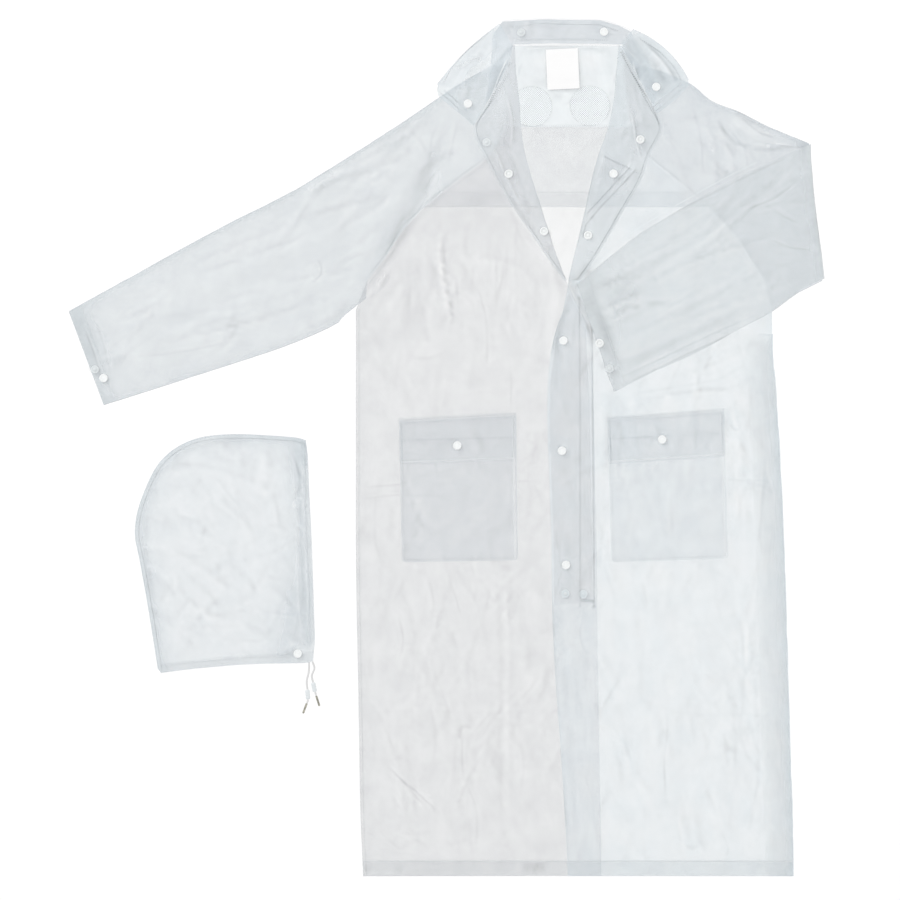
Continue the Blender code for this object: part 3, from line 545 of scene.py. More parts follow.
# ---------------------------------------------------------------- creases
# Columns: half width, lift, then the line's points.
CREASES = {
    "air": (
        (26, 3.3, (-3, 350), (-9, 310), (-4, 262), (6, 215), (4, 170)),  # right chest
        (20, -0.55, (-26, 285), (-30, 230), (-22, 190), (-2, 150)),
        (14, 1.2, (43, 265), (58, 230), (62, 180), (64, 120)),
        (16, 1.1, (62, 255), (100, 230), (124, 195), (130, 165)),
        (12, 1.7, (-128, 238), (-96, 262), (-78, 292)),  # from the armpit
        (12, 1.4, (-120, 215), (-80, 246), (-60, 285)),
        (12, 1.1, (-110, 196), (-66, 226), (-46, 268)),
        (26, 2.2, (-25, 150), (5, 136), (35, 86)),
        (9, 0.99, (96, 60), (92, 100), (98, 130)),
        (12, 0.88, (75, -175), (76, -330), (78, -480), (77, -640)),  # package fold
        (34, 2.2, (10, -250), (25, -420), (20, -600)),
        (12, 1.8, (-100, -470), (-60, -495), (-15, -540)),
        (8, -0.83, (-88, -482), (-40, -515), (-20, -530)),
        (10, 1.4, (48, -418), (28, -440), (24, -480), (20, -520)),
        (10, 1.3, (-30, -290), (-22, -330), (-35, -360), (-50, -380)),
        (9, 1.1, (5, -190), (15, -240), (35, -290), (55, -330)),
        (9, 0.99, (60, -250), (66, -300), (58, -350)),
        (9, 1.1, (122, -330), (108, -380), (80, -410)),
        (12, 0.99, (100, -400), (108, -460), (102, -520)),
        (34, 3.3, (-175, 320), (-300, 268), (-445, 195)),  # right sleeve
        (28, 2.5, (-240, 215), (-360, 180), (-470, 140)),
        (12, 1.4, (-130, 330), (-220, 300), (-320, 262)),
        (11, 1.2, (-200, 352), (-280, 312), (-360, 282)),
        (12, 1.4, (-150, 262), (-220, 236), (-300, 222)),
        (10, 1.1, (-330, 165), (-410, 142), (-480, 112)),
        (16, 1.7, (-20, 452), (-40, 410), (-80, 362)),
        (14, 1.3, (10, 478), (-20, 452), (-70, 420), (-120, 398)),
        (34, 2.8, (400, 480), (450, 450), (520, 380)),  # left upper arm
        (14, 1.7, (330, 480), (352, 440), (356, 392)),
        (14, 1.7, (352, 520), (392, 492), (460, 474)),
        (12, 1.3, (372, 470), (420, 462), (500, 440)),
        (36, 3.3, (-400, -40), (-330, -70), (-240, -120)),  # hood
        (34, 2.8, (-415, -185), (-330, -215), (-235, -265)),
        (16, 1.9, (-340, -110), (-310, -150), (-262, -190)),
        (16, 1.7, (-430, -120), (-390, -190), (-380, -260)),
        (14, 1.7, (-300, -210), (-350, -250), (-400, -268)),
        (16, 1.4, (-262, -30), (-300, -60), (-380, -78)),
    ),
    "air_left": (
        (34, 2.8, (230, -290), (262, -420), (300, -600)),  # left skirt
        (12, 1.2, (328, -395), (330, -460), (326, -530)),
        (13, 1.4, (300, 62), (380, 90), (450, 120), (480, 150)),  # from the arm
        (11, 1.2, (320, 50), (400, 70), (455, 96)),
        (10, 1.2, (280, 70), (340, 96), (420, 130)),
        (12, 1.1, (380, 30), (440, 60), (478, 100)),
        (12, 1.4, (338, -60), (332, -100), (340, -150)),
        (12, 1.4, (368, -50), (360, -105), (350, -150)),
        (12, 1.3, (392, -60), (398, -110), (404, -158)),
        (12, 1.2, (430, -30), (436, -90), (430, -170)),
        (22, 1.7, (400, -200), (392, -300), (404, -420)),
        (16, 1.3, (280, -210), (290, -270), (282, -330)),
        (18, 1.4, (452, -250), (448, -360), (458, -470)),
    ),
    "air_forearm": (
        (26, 2.5, (225, 180), (300, 240), (400, 300), (520, 400)),
        (18, 1.8, (262, 150), (330, 180), (430, 210), (540, 280)),
        (14, 1.4, (250, 200), (330, 262), (430, 330), (535, 440)),
        (14, 1.3, (290, 120), (380, 160), (470, 192)),
        (12, 1.2, (300, 200), (360, 222), (440, 250), (530, 300)),
        (12, 1.1, (360, 270), (420, 300), (500, 340)),
    ),
}
# Wrinkles of single plies, which lift all plies above them too.
# Columns: half width, lift, haze, tone and painted light (-1 dark to 1 white), then the line's points. The
# flank on the line's left gets the opposite value, so a wrinkle carries painted light and shade: a pale crest
# beside a dark flank, or a dark crest beside a pale one.
WRINKLES = {
    "front_right.body": (
        # A painted highlight along the chest's ridge, with painted shade on its flank.
        (4.8, 0.65, 0.072, 0.65, (-2, 334), (-10, 304), (-10, 278), (-5, 244), (1, 214), (4, 191), (1, 169)),
        (6.5, -0.13, 0.027, -0.13, (-16, 278), (-13, 244), (-10, 221)),
        (6.5, -0.16, 0.045, -0.2, (-38, 221), (-32, 176), (-25, 154)),
        (7.7, 0.1, 0.027, -0.07, (-28, 296), (-22, 259), (-25, 233)),
        (2.5, 0.11, 0.044, -0.2, (44, 254), (52, 221), (59, 191), (61, 146), (59, 101)),
        (2.5, 0.11, 0.05, -0.2, (94, 131), (97, 94), (95, 56)),
        (2.8, 0.11, 0.033, -0.2, (-55, 136), (-25, 134), (1, 146)),
        (5.4, 0.39, 0.045, 0.39, (-80, 278), (-92, 259), (-122, 221)),
        (5.4, 0.31, 0.036, 0.2, (-73, 266), (-88, 239), (-118, 194)),
        (6.5, 0.26, 0.027, 0.13, (-64, 251), (-76, 221), (-106, 176)),
        (4.8, 0.26, 0.032, 0.2, (58, 248), (88, 236), (103, 221), (125, 176)),
        (5.4, 0.26, 0.023, 0.2, (32, 278), (80, 278), (122, 254), (140, 221)),
        (2.8, 0.11, 0.028, -0.13, (8, 236), (35, 221), (47, 188)),
        (5.4, 0.16, 0.018, 0.2, (20, 334), (23, 281), (17, 221)),
        (6.5, 0.16, 0.018, -0.07, (-49, 334), (-40, 281), (-52, 236)),
        (2.5, 0.13, 0.033, -0.2, (23, 79), (65, 83), (80, 74)),
        (2.5, 0.13, 0.044, -0.29, (59, 56), (65, 34), (62, 17)),
        (2.5, 0.13, 0.039, -0.29, (73, 59), (82, 35), (92, 23)),
        (2.1, 0.15, 0.044, -0.29, (-133, -62), (-107, -58), (-70, -55), (-40, -43), (-10, -37), (20, -31)),
        (2.1, 0.11, 0.028, -0.2, (-133, -74), (-115, -76), (-70, -71), (20, -74)),
        (2.1, 0.11, 0.028, -0.2, (-70, -86), (-32, -83), (5, -76)),
        (2.1, 0.11, 0.028, -0.13, (88, -55), (118, -50), (148, -53)),
        (2.5, 0.13, 0.039, -0.2, (-74, -244), (-65, -289), (-73, -326)),
        (2.2, 0.11, 0.039, -0.2, (5, -199), (16, -232), (23, -259)),
        (2.2, 0.11, 0.033, -0.2, (8, -274), (16, -301), (23, -322)),
        (2.2, 0.11, 0.033, -0.2, (58, -244), (62, -229), (65, -214)),
        (2.2, 0.11, 0.033, -0.2, (-77, -304), (-67, -298), (-55, -289)),
        (2.2, 0.11, 0.033, -0.2, (-52, -304), (-49, -326), (-49, -349)),
        (2.2, 0.13, 0.039, -0.29, (25, -424), (23, -461), (26, -499)),
        (2.2, 0.18, 0.055, 0.51, (23, -439), (25, -421), (40, -424)),
        (2.2, 0.13, 0.033, -0.2, (43, -424), (53, -412), (65, -398)),
        (2.8, 0.22, 0.055, -0.29, (-91, -472), (-70, -496), (-47, -514), (-28, -532), (-7, -550)),
        (2.8, 0.18, 0.044, 0.29, (-76, -491), (-52, -521), (-25, -547)),
        (2.8, 0.18, 0.044, -0.2, (28, -506), (41, -529), (46, -566), (43, -604)),
        (2.8, 0.18, 0.039, -0.2, (110, -379), (128, -358), (140, -334)),
        (6.5, 0.21, 0.023, -0.2, (76, -169), (82, -289), (80, -439), (85, -619)),
        (5.4, 0.16, 0.023, 0.2, (88, -169), (92, -349), (91, -559)),
        (2.8, 0.13, 0.028, -0.13, (-25, -379), (-16, -439), (-25, -484)),
        (2.8, 0.13, 0.028, -0.13, (110, -431), (116, -484), (107, -529)),
        (5.4, 0.16, 0.023, 0.13, (-107, -169), (-100, -229), (-106, -289)),
        (2.8, 0.11, 0.028, -0.13, (35, -169), (44, -206), (38, -244)),
        (2.8, 0.11, 0.028, 0.13, (-32, -191), (-22, -229), (-28, -266)),
        (2.2, 0.07, 0.022, -0.13, (-130, -397), (-40, -395), (50, -397), (152, -394)),
        (2.5, 0.13, 0.033, 0.2, (-92, -586), (-70, -604), (-47, -592), (-25, -604)),
        (2.5, 0.13, 0.028, 0.2, (-77, -577), (-52, -583), (-16, -580)),
        (2.5, 0.13, 0.028, 0.16, (-10, -586), (8, -598), (35, -589)),
        (6.5, 0.08, 0.045, -0.13, (-34, 359), (-55, 335), (-70, 311), (-82, 287), (-118, 263), (-139, 233)),
        (5.4, 0.21, 0.027, 0.13, (-10, 371), (-28, 344), (-49, 317)),
        (14, 0.12, 0.16, -0.3, (110, -629), (152, -629)),
        (7.7, 0.05, 0.081, -0.29, (-79, -631), (-62, -632)),
        (9, 0.12, 0.128, -0.3, (-122, -628), (-112, -631)),
        (12, 0.18, -0.032, 0.3, (152, 221), (158, 131), (155, 71)),
        (9, 0.18, -0.024, 0.3, (80, 394), (110, 349), (140, 304), (163, 236), (160, 161)),
        (60, 0, 0.064, -0.03, (-40, 349), (50, 338), (110, 319)),
        (40, 0, 0.048, -0.06, (-92, 278), (-112, 221), (-121, 131)),
        (42, 0, -0.08, 0.15, (-32, 364), (23, 407), (58, 439)),
        (26, 0, 0.056, -0.06, (-16, 296), (-8, 236), (-1, 176)),
        (18, 0.12, 0.08, -0.09, (-47, 349), (-77, 304), (-112, 251)),
        (22, 0, 0.072, -0.09, (-49, 296), (-55, 221), (-58, 146)),
    ),
    "sleeve_right.upper": (
        (7.7, 0.08, 0.054, -0.2, (-14, 431), (-32, 386), (-47, 356), (-70, 334), (-82, 304), (-91, 278)),
        (7.7, 0.08, 0.072, -0.13, (-223, 367), (-175, 397), (-104, 427), (-43, 481)),
        (13, 0, -0.064, 0.06, (-181, 407), (-148, 430), (-94, 452)),
        (6.5, 0.36, 0.027, 0.2, (-385, 266), (-325, 293), (-250, 323), (-175, 356)),
        (5.4, 0.26, 0.023, -0.13, (-397, 254), (-325, 278), (-235, 311)),
        (5.4, 0.36, 0.027, 0.2, (-475, 146), (-385, 161), (-280, 188), (-175, 221)),
        (2.8, 0.22, 0.028, -0.13, (-490, 134), (-400, 143), (-310, 161)),
        (5.4, 0.26, 0.023, -0.07, (-445, 194), (-370, 203), (-265, 221)),
        (2.8, 0.18, 0.033, -0.13, (-343, 266), (-325, 278), (-298, 278)),
        (2.8, 0.18, 0.033, 0.13, (-283, 278), (-265, 296), (-220, 308)),
        (2.8, 0.18, 0.039, -0.2, (-193, 284), (-187, 263), (-202, 245)),
        (5.4, 0.26, 0.027, 0.2, (-160, 323), (-136, 338), (-100, 359), (-76, 386)),
        (5.4, 0.26, 0.027, -0.13, (-142, 302), (-112, 323), (-82, 353)),
        (4.8, 0.26, 0.027, 0.2, (-133, 389), (-100, 401), (-64, 431), (-40, 461)),
        (4.8, 0.21, 0.023, -0.13, (-166, 377), (-130, 404), (-82, 431)),
        (4.8, 0.21, 0.032, -0.2, (-100, 446), (-70, 461), (-28, 494)),
        (4.8, 0.21, 0.027, -0.13, (-220, 374), (-175, 395), (-145, 416)),
        (2.8, 0.18, 0.033, 0.2, (-64, 479), (-43, 458), (-28, 431)),
        (2.8, 0.18, 0.033, -0.13, (-10, 491), (-22, 461), (-25, 424)),
        (2.8, 0.18, 0.028, 0.2, (13, 494), (8, 461), (-1, 428)),
        (5.4, 0.26, 0.032, -0.2, (-175, 266), (-145, 284), (-115, 293)),
        (5.4, 0.21, 0.036, -0.2, (-220, 176), (-167, 197), (-142, 227)),
        (2.8, 0.11, 0.055, -0.2, (-544, 182), (-529, 143), (-514, 94)),
        (2.8, 0.11, 0.044, -0.13, (-527, 191), (-514, 154), (-502, 101)),
        (22, 0.18, 0.112, -0.12, (-10, 473), (-32, 409), (-70, 334), (-118, 263)),
        (7.7, 0.13, 0.045, -0.07, (8, 506), (-16, 446), (-55, 364)),
    ),
    "sleeve_left.upper": (
        (5.4, 0.36, 0.036, 0.2, (380, 514), (398, 446), (401, 377)),
        (2.8, 0.18, 0.033, -0.13, (365, 521), (380, 469), (386, 401)),
        (5.4, 0.31, 0.036, 0.29, (398, 494), (425, 431), (430, 364)),
        (2.8, 0.18, 0.033, -0.13, (413, 488), (446, 446), (452, 409)),
        (5.4, 0.31, 0.036, -0.2, (365, 548), (404, 521), (470, 494), (530, 464)),
        (2.8, 0.22, 0.033, 0.2, (380, 527), (433, 503), (493, 476)),
        (2.8, 0.18, 0.05, -0.29, (443, 494), (467, 473), (497, 464)),
        (2.8, 0.18, 0.039, -0.2, (455, 461), (500, 452), (536, 449)),
        (5.4, 0.26, 0.032, 0.2, (313, 491), (344, 431), (365, 364)),
        (2.8, 0.18, 0.033, -0.13, (298, 446), (320, 401), (326, 349)),
        (5.4, 0.26, 0.036, 0.39, (260, 401), (248, 349), (236, 311)),
        (4.8, 0.08, 0.117, -0.29, (404, 506), (413, 479), (437, 455), (478, 448), (530, 452)),
        (12, 0, -0.112, 0.3, (422, 497), (448, 479), (473, 464)),
        (9, 0, 0.32, -0.18, (539, 457), (530, 446)),
    ),
    "forearm.upper": (
        (5.4, 0.31, 0.032, 0.29, (290, 236), (380, 278), (455, 302), (515, 319)),
        (6.5, 0.36, 0.027, 0.2, (245, 221), (320, 269), (410, 326), (500, 401), (539, 443)),
        (5.4, 0.26, 0.023, -0.13, (230, 244), (305, 293), (380, 338), (470, 401)),
        (5.4, 0.31, 0.027, -0.13, (248, 154), (320, 191), (410, 236), (515, 278)),
        (5.4, 0.26, 0.032, 0.2, (290, 154), (365, 188), (455, 221), (548, 257)),
        (2.8, 0.18, 0.044, -0.2, (470, 371), (500, 349), (530, 334)),
        (2.8, 0.18, 0.044, -0.2, (485, 311), (515, 299), (548, 296)),
        (2.8, 0.18, 0.033, 0.2, (448, 353), (493, 371), (530, 401)),
        (2.8, 0.18, 0.028, -0.13, (290, 278), (313, 251), (323, 221)),
        (2.5, 0.13, 0.088, 0.65, (208, 194), (212, 182), (218, 169)),
        (7.7, 0.1, 0.063, -0.13, (248, 124), (254, 101), (257, 83)),
        (2.2, 0.11, 0.088, -0.29, (248, 86), (305, 113), (380, 149), (440, 176), (488, 196)),
        (2.2, 0.09, 0.055, -0.2, (244, 98), (302, 124), (377, 160), (437, 187), (485, 206)),
        (9, 0.3, 0.064, -0.18, (236, 113), (290, 136), (380, 176), (470, 221)),
        (14, 0.24, 0.128, -0.18, (208, 236), (230, 191), (248, 146), (263, 104)),
        (9, 0.24, 0.08, -0.18, (548, 431), (554, 371), (563, 278)),
        (2.2, 0.09, 0.055, -0.2, (305, 334), (380, 371), (470, 416), (530, 443)),
    ),
    "front_left.body": (
        (4.8, 0.31, 0.032, -0.13, (245, 49), (290, 64), (320, 74), (380, 79), (440, 94), (479, 122)),
        (4.8, 0.31, 0.054, 0.51, (305, 71), (365, 79), (425, 83)),
        (4.8, 0.31, 0.036, -0.13, (365, 124), (425, 146), (478, 173)),
        (4.8, 0.31, 0.036, 0.29, (305, 94), (380, 113), (448, 143), (482, 158)),
        (2.8, 0.22, 0.033, -0.13, (275, 79), (335, 89), (410, 104), (470, 137)),
        (2.5, 0.18, 0.055, 0.39, (422, 34), (433, 23), (443, 29)),
        (2.5, 0.18, 0.044, 0.39, (433, -64), (437, -86), (434, -109)),
        (4.8, 0.21, 0.023, -0.13, (448, 11), (458, -49), (452, -139)),
        (2.1, 0.11, 0.033, -0.2, (380, -46), (440, -49), (493, -49)),
        (2.1, 0.11, 0.028, 0.2, (418, -47), (470, -61), (497, -76)),
        (2.1, 0.11, 0.028, -0.13, (239, -47), (260, -46), (278, -49)),
        (2.2, 0.09, 0.066, 0.51, (154, -169), (157, -289), (164, -409), (173, -529), (182, -634)),
        (7.7, 0.08, 0.036, -0.13, (170, -169), (173, -289), (182, -409), (191, -529), (197, -631)),
        (2.2, 0.11, 0.044, -0.2, (203, -259), (200, -281), (205, -304)),
        (2.2, 0.11, 0.044, -0.2, (215, -484), (209, -499), (215, -514)),
        (2.8, 0.18, 0.044, -0.2, (328, -391), (331, -424), (326, -469), (329, -529)),
        (5.4, 0.26, 0.032, -0.13, (245, -409), (257, -469), (290, -529), (320, -586)),
        (5.4, 0.26, 0.023, 0.2, (254, -403), (272, -469), (305, -529)),
        (5.4, 0.21, 0.023, 0.13, (365, -229), (371, -289), (362, -364)),
        (5.4, 0.21, 0.023, -0.07, (290, -199), (299, -259), (290, -334)),
        (5.4, 0.21, 0.027, -0.13, (380, -409), (398, -469), (392, -544)),
        (6.5, 0.21, 0.023, 0.2, (440, -184), (449, -289), (458, -409), (464, -529)),
        (2.2, 0.07, 0.022, -0.13, (260, -364), (350, -397), (440, -400), (515, -403)),
        (2.8, 0.13, 0.028, 0.13, (230, -169), (248, -229), (242, -289)),
        (2.5, 0.13, 0.044, 0.29, (343, -581), (365, -604), (380, -598)),
        (2.5, 0.13, 0.039, -0.2, (410, -574), (422, -601), (416, -616)),
        (2.2, 0.11, 0.044, -0.2, (179, -178), (188, -196), (194, -217)),
        (2.2, 0.11, 0.039, -0.2, (173, -184), (167, -205), (164, -226)),
        (2.2, 0.11, 0.039, -0.2, (185, -169), (200, -157), (206, -139)),
        (2.2, 0.11, 0.039, -0.2, (172, -163), (166, -148), (164, -124)),
        (10, 0.13, 0.099, -0.2, (191, 224), (178, 203), (170, 176), (164, 131), (160, 71)),
        (6.5, 0.13, 0.063, -0.2, (197, 236), (185, 221), (175, 194)),
        (9, 0.18, 0.096, 0.3, (203, 188), (205, 167), (206, 146)),
        (10, 0.05, 0.054, -0.2, (512, -622), (518, -631)),
        (10, 0.08, 0.009, 0.2, (290, 278), (253, 244), (230, 278)),
        (30, 0.18, 0.176, -0.12, (242, 94), (257, 41), (239, -34)),
        # A painted shadow: the dark wedge between the lapel's lower edge and the sleeve.
        (8.8, 0, 0.135, -0.65, (194, 236), (218, 272)),
        (13, 0, 0.24, -0.51, (170, 284), (185, 251), (197, 226), (212, 191), (221, 154)),
        (10, 0, 0.162, -0.29, (157, 131), (163, 176), (172, 214), (181, 239)),
        (30, 0, 0.08, -0.06, (253, 349), (290, 338), (328, 349)),
    ),
    "hood.over": (
        (6.5, 0.36, 0.032, 0.2, (-445, -49), (-385, -34), (-310, -49), (-250, -79)),
        (5.4, 0.31, 0.027, -0.13, (-407, -11), (-370, -46), (-340, -94)),
        (6.5, 0.36, 0.032, 0.29, (-347, -79), (-310, -109), (-287, -154)),
        (6.5, 0.36, 0.032, 0.29, (-430, -146), (-392, -169), (-347, -199), (-310, -229)),
        (5.4, 0.26, 0.032, -0.2, (-415, -169), (-370, -206), (-332, -244)),
        (6.5, 0.31, 0.036, 0.39, (-392, -229), (-355, -256), (-310, -262)),
        (5.4, 0.26, 0.032, -0.2, (-385, -274), (-362, -244), (-325, -217)),
        (5.4, 0.26, 0.027, 0.2, (-310, -244), (-277, -206), (-257, -169)),
        (5.4, 0.26, 0.027, -0.13, (-328, -169), (-295, -199), (-277, -244)),
        (5.4, 0.26, 0.027, -0.13, (-422, -86), (-388, -109), (-370, -146)),
        (5.4, 0.26, 0.023, 0.2, (-295, -34), (-265, -79), (-247, -139)),
        (5.4, 0.26, 0.027, -0.13, (-277, -289), (-257, -259), (-242, -214)),
        (5.4, 0.26, 0.023, -0.13, (-355, -7), (-317, -22), (-277, -19)),
        (5.4, 0.26, 0.027, 0.2, (-406, -259), (-397, -289), (-376, -307)),
        (6.5, 0.21, 0.054, -0.13, (-445, -79), (-451, -139), (-442, -214), (-430, -289)),
        (5.4, 0.21, 0.036, -0.13, (-430, -56), (-400, -16), (-347, 8), (-280, 11)),
        (5.4, 0.16, 0.045, -0.13, (-223, -4), (-220, -79), (-217, -169), (-211, -289)),
        (2.5, 0.13, 0.033, 0.13, (-232, -11), (-226, -109), (-223, -214), (-217, -296)),
    ),
    "front_right.lapel": (
        (5.4, 0.13, 0.054, -0.2, (88, 391), (103, 364), (125, 334), (148, 304), (170, 266)),
        (7.7, 0.13, 0.081, -0.2, (133, 394), (148, 349), (163, 296), (179, 247)),
        (6.5, 0.13, 0.036, -0.13, (80, 476), (103, 416), (125, 356)),
        (2.8, 0.11, 0.044, 0.2, (65, 461), (88, 409), (110, 364)),
        (5.4, 0.13, 0.054, -0.13, (110, 536), (116, 476), (128, 409)),
        (2.8, 0.11, 0.044, 0.2, (89, 529), (98, 484), (95, 446)),
    ),
    "front_left.lapel": (
        (6.5, 0.13, 0.063, -0.13, (238, 521), (230, 461), (218, 401), (203, 341), (193, 284)),
        (5.4, 0.13, 0.045, -0.13, (305, 416), (275, 371), (242, 319), (212, 278)),
        (2.8, 0.11, 0.055, 0.29, (275, 506), (283, 461), (290, 431)),
        (5.4, 0.13, 0.054, -0.13, (263, 521), (268, 476), (260, 446)),
        (8.8, 0.13, 0.135, -0.29, (215, 278), (203, 263), (191, 245)),
    ),
    "fall.leaves": (
        (6.5, 0.16, 0.072, -0.2, (88, 611), (80, 566), (65, 521), (53, 484)),
        # A painted highlight streak along the right leaf.
        (2.2, 0.13, 0.088, 0.65, (95, 589), (77, 551), (56, 491)),
        (7.7, 0.16, 0.023, 0.07, (76, 604), (47, 578), (17, 551), (-1, 529)),
        (5.4, 0.16, 0.032, -0.13, (62, 581), (35, 551), (14, 533)),
        (6.5, 0.16, 0.081, -0.2, (271, 611), (278, 566), (293, 521), (308, 484)),
        # A painted highlight streak along the left leaf.
        (2.2, 0.13, 0.088, 0.65, (278, 578), (290, 536), (302, 503)),
        (5.4, 0.16, 0.036, 0.29, (290, 604), (320, 578), (344, 542)),
        (5.4, 0.16, 0.032, -0.13, (305, 581), (323, 557), (332, 533)),
        (38, 0, 0.272, -0.12, (275, 620), (299, 587), (323, 551), (338, 527)),
        (26, 0, 0.04, -0.03, (-1, 536), (23, 566), (53, 596), (88, 620)),
        (12, 0, -0.064, 0, (5, 530), (23, 521), (44, 512)),
    ),
    "yoke": (
        (26, 0.12, 0.128, 0.48, (110, 578), (170, 581), (248, 578)),
    ),
}
# Wrinkles that a packed coat keeps, strewn over a ply.
# Columns: ply, corners of the area, count, direction in degrees, spread, length.
STREWN = (
    ("back", (-130, -640), (500, 480), 110, 86, 30, 90),
    ("cape", (-20, 365), (400, 600), 20, 80, 30, 50),
    ("yoke", (100, 482), (262, 600), 26, 60, 60, 26),
    ("sleeve_right.lower", (-550, 90), (90, 600), 44, 30, 16, 80),
    ("sleeve_left.lower", (270, 240), (560, 560), 24, -24, 24, 60),
    ("hood.under", (-460, -330), (-205, 10), 40, -45, 50, 50),
    ("front_right.body", (-135, 30), (150, 460), 100, 88, 26, 44),
    ("front_right.body", (-135, -640), (215, 30), 170, 88, 24, 56),
    ("sleeve_right.upper", (-550, 90), (90, 600), 150, 31, 14, 64),
    ("sleeve_left.upper", (270, 240), (560, 560), 56, -20, 30, 50),
    ("forearm.upper", (200, 80), (560, 450), 90, 32, 14, 70),
    ("front_left.body", (170, -640), (510, 120), 220, 90, 20, 60),
    ("front_left.body", (420, -640), (512, 60), 50, 90, 10, 90),
    ("hood.over", (-460, -330), (-205, 10), 150, 130, 44, 34),
    ("pocket_right", (-66, -165), (102, 40), 26, 84, 40, 30),
    ("pocket_left", (250, -165), (415, 40), 44, 90, 12, 44),
    ("flap_right", (-66, -20), (100, 44), 18, 92, 14, 26),
    ("flap_left", (250, -16), (412, 50), 30, 92, 10, 30),
    ("front_right.lapel", (40, 260), (175, 590), 40, 118, 20, 44),
    ("front_left.lapel", (190, 260), (325, 590), 40, 68, 20, 44),
    ("fall.leaves", (-10, 480), (120, 630), 30, 56, 24, 34),
    ("fall.leaves", (255, 500), (360, 625), 30, 124, 24, 34),
    ("stand", (60, 600), (310, 644), 30, 70, 40, 14),
)
STREWN_SEED = 40
STREWN_LIMITS = ((3.4, 8), (0.05, 0.3), (0.3, 1.4), (-0.2, 0.2))  # half width, lift, haze, tone and painted light
STREWN_HAZE = 0.018
STREWN_BEND = 0.35  # spread of a strewn wrinkle's bend, in radians
STREWN_RUN = (0.6, 2.2)  # shortest and longest, as shares of the row's length
STREWN_PARTS = 3
FAINT_PAINTED_LIGHT, LEAST_PAINTED_LIGHT = 0.05, -0.1  # a strewn wrinkle's painted light and shade fainter than the first becomes the second
NARROW = 4.2  # a wrinkle whose half width is below this has corners of its own in the plan
WRINKLE_REACH = 2.2  # half widths from its line that a wrinkle acts on
FLANK_WIDTH = 0.9  # half widths, for the flank beside the crest
TAPER = 0.22  # share of its length over which each end of a wrinkle fades
WAVE_SPREAD = (0.7, 1.6)  # shortest and longest wave of an uneven field, as shares of its size


def wave_field(points, size, seed, waves=18):
    """A smooth uneven field with swings of about one, of waves near a size."""
    rng = np.random.default_rng(seed)
    turns = rng.uniform(0, 2 * math.pi, waves)
    rates = 2 * math.pi / (size * rng.uniform(*WAVE_SPREAD, waves))
    phases = rng.uniform(0, 2 * math.pi, waves)
    along = np.outer(points[:, 0], np.cos(turns) * rates) + np.outer(points[:, 1], np.sin(turns) * rates)
    return np.cos(along + phases).sum(axis=1) * math.sqrt(2 / waves)


def inset(name, depth):
    """The corners of a pocket or a flap, moved inwards."""
    center = np.mean(POCKETS[name], axis=0)
    return [tuple(np.add(corner, np.copysign(depth, center - corner))) for corner in POCKETS[name]]


class Sewn(NamedTuple):
    ply: str
    line: list
    half_width: float
    lift: float
    haze: float
    tone_and_painted_light: float
    stitched: bool = True


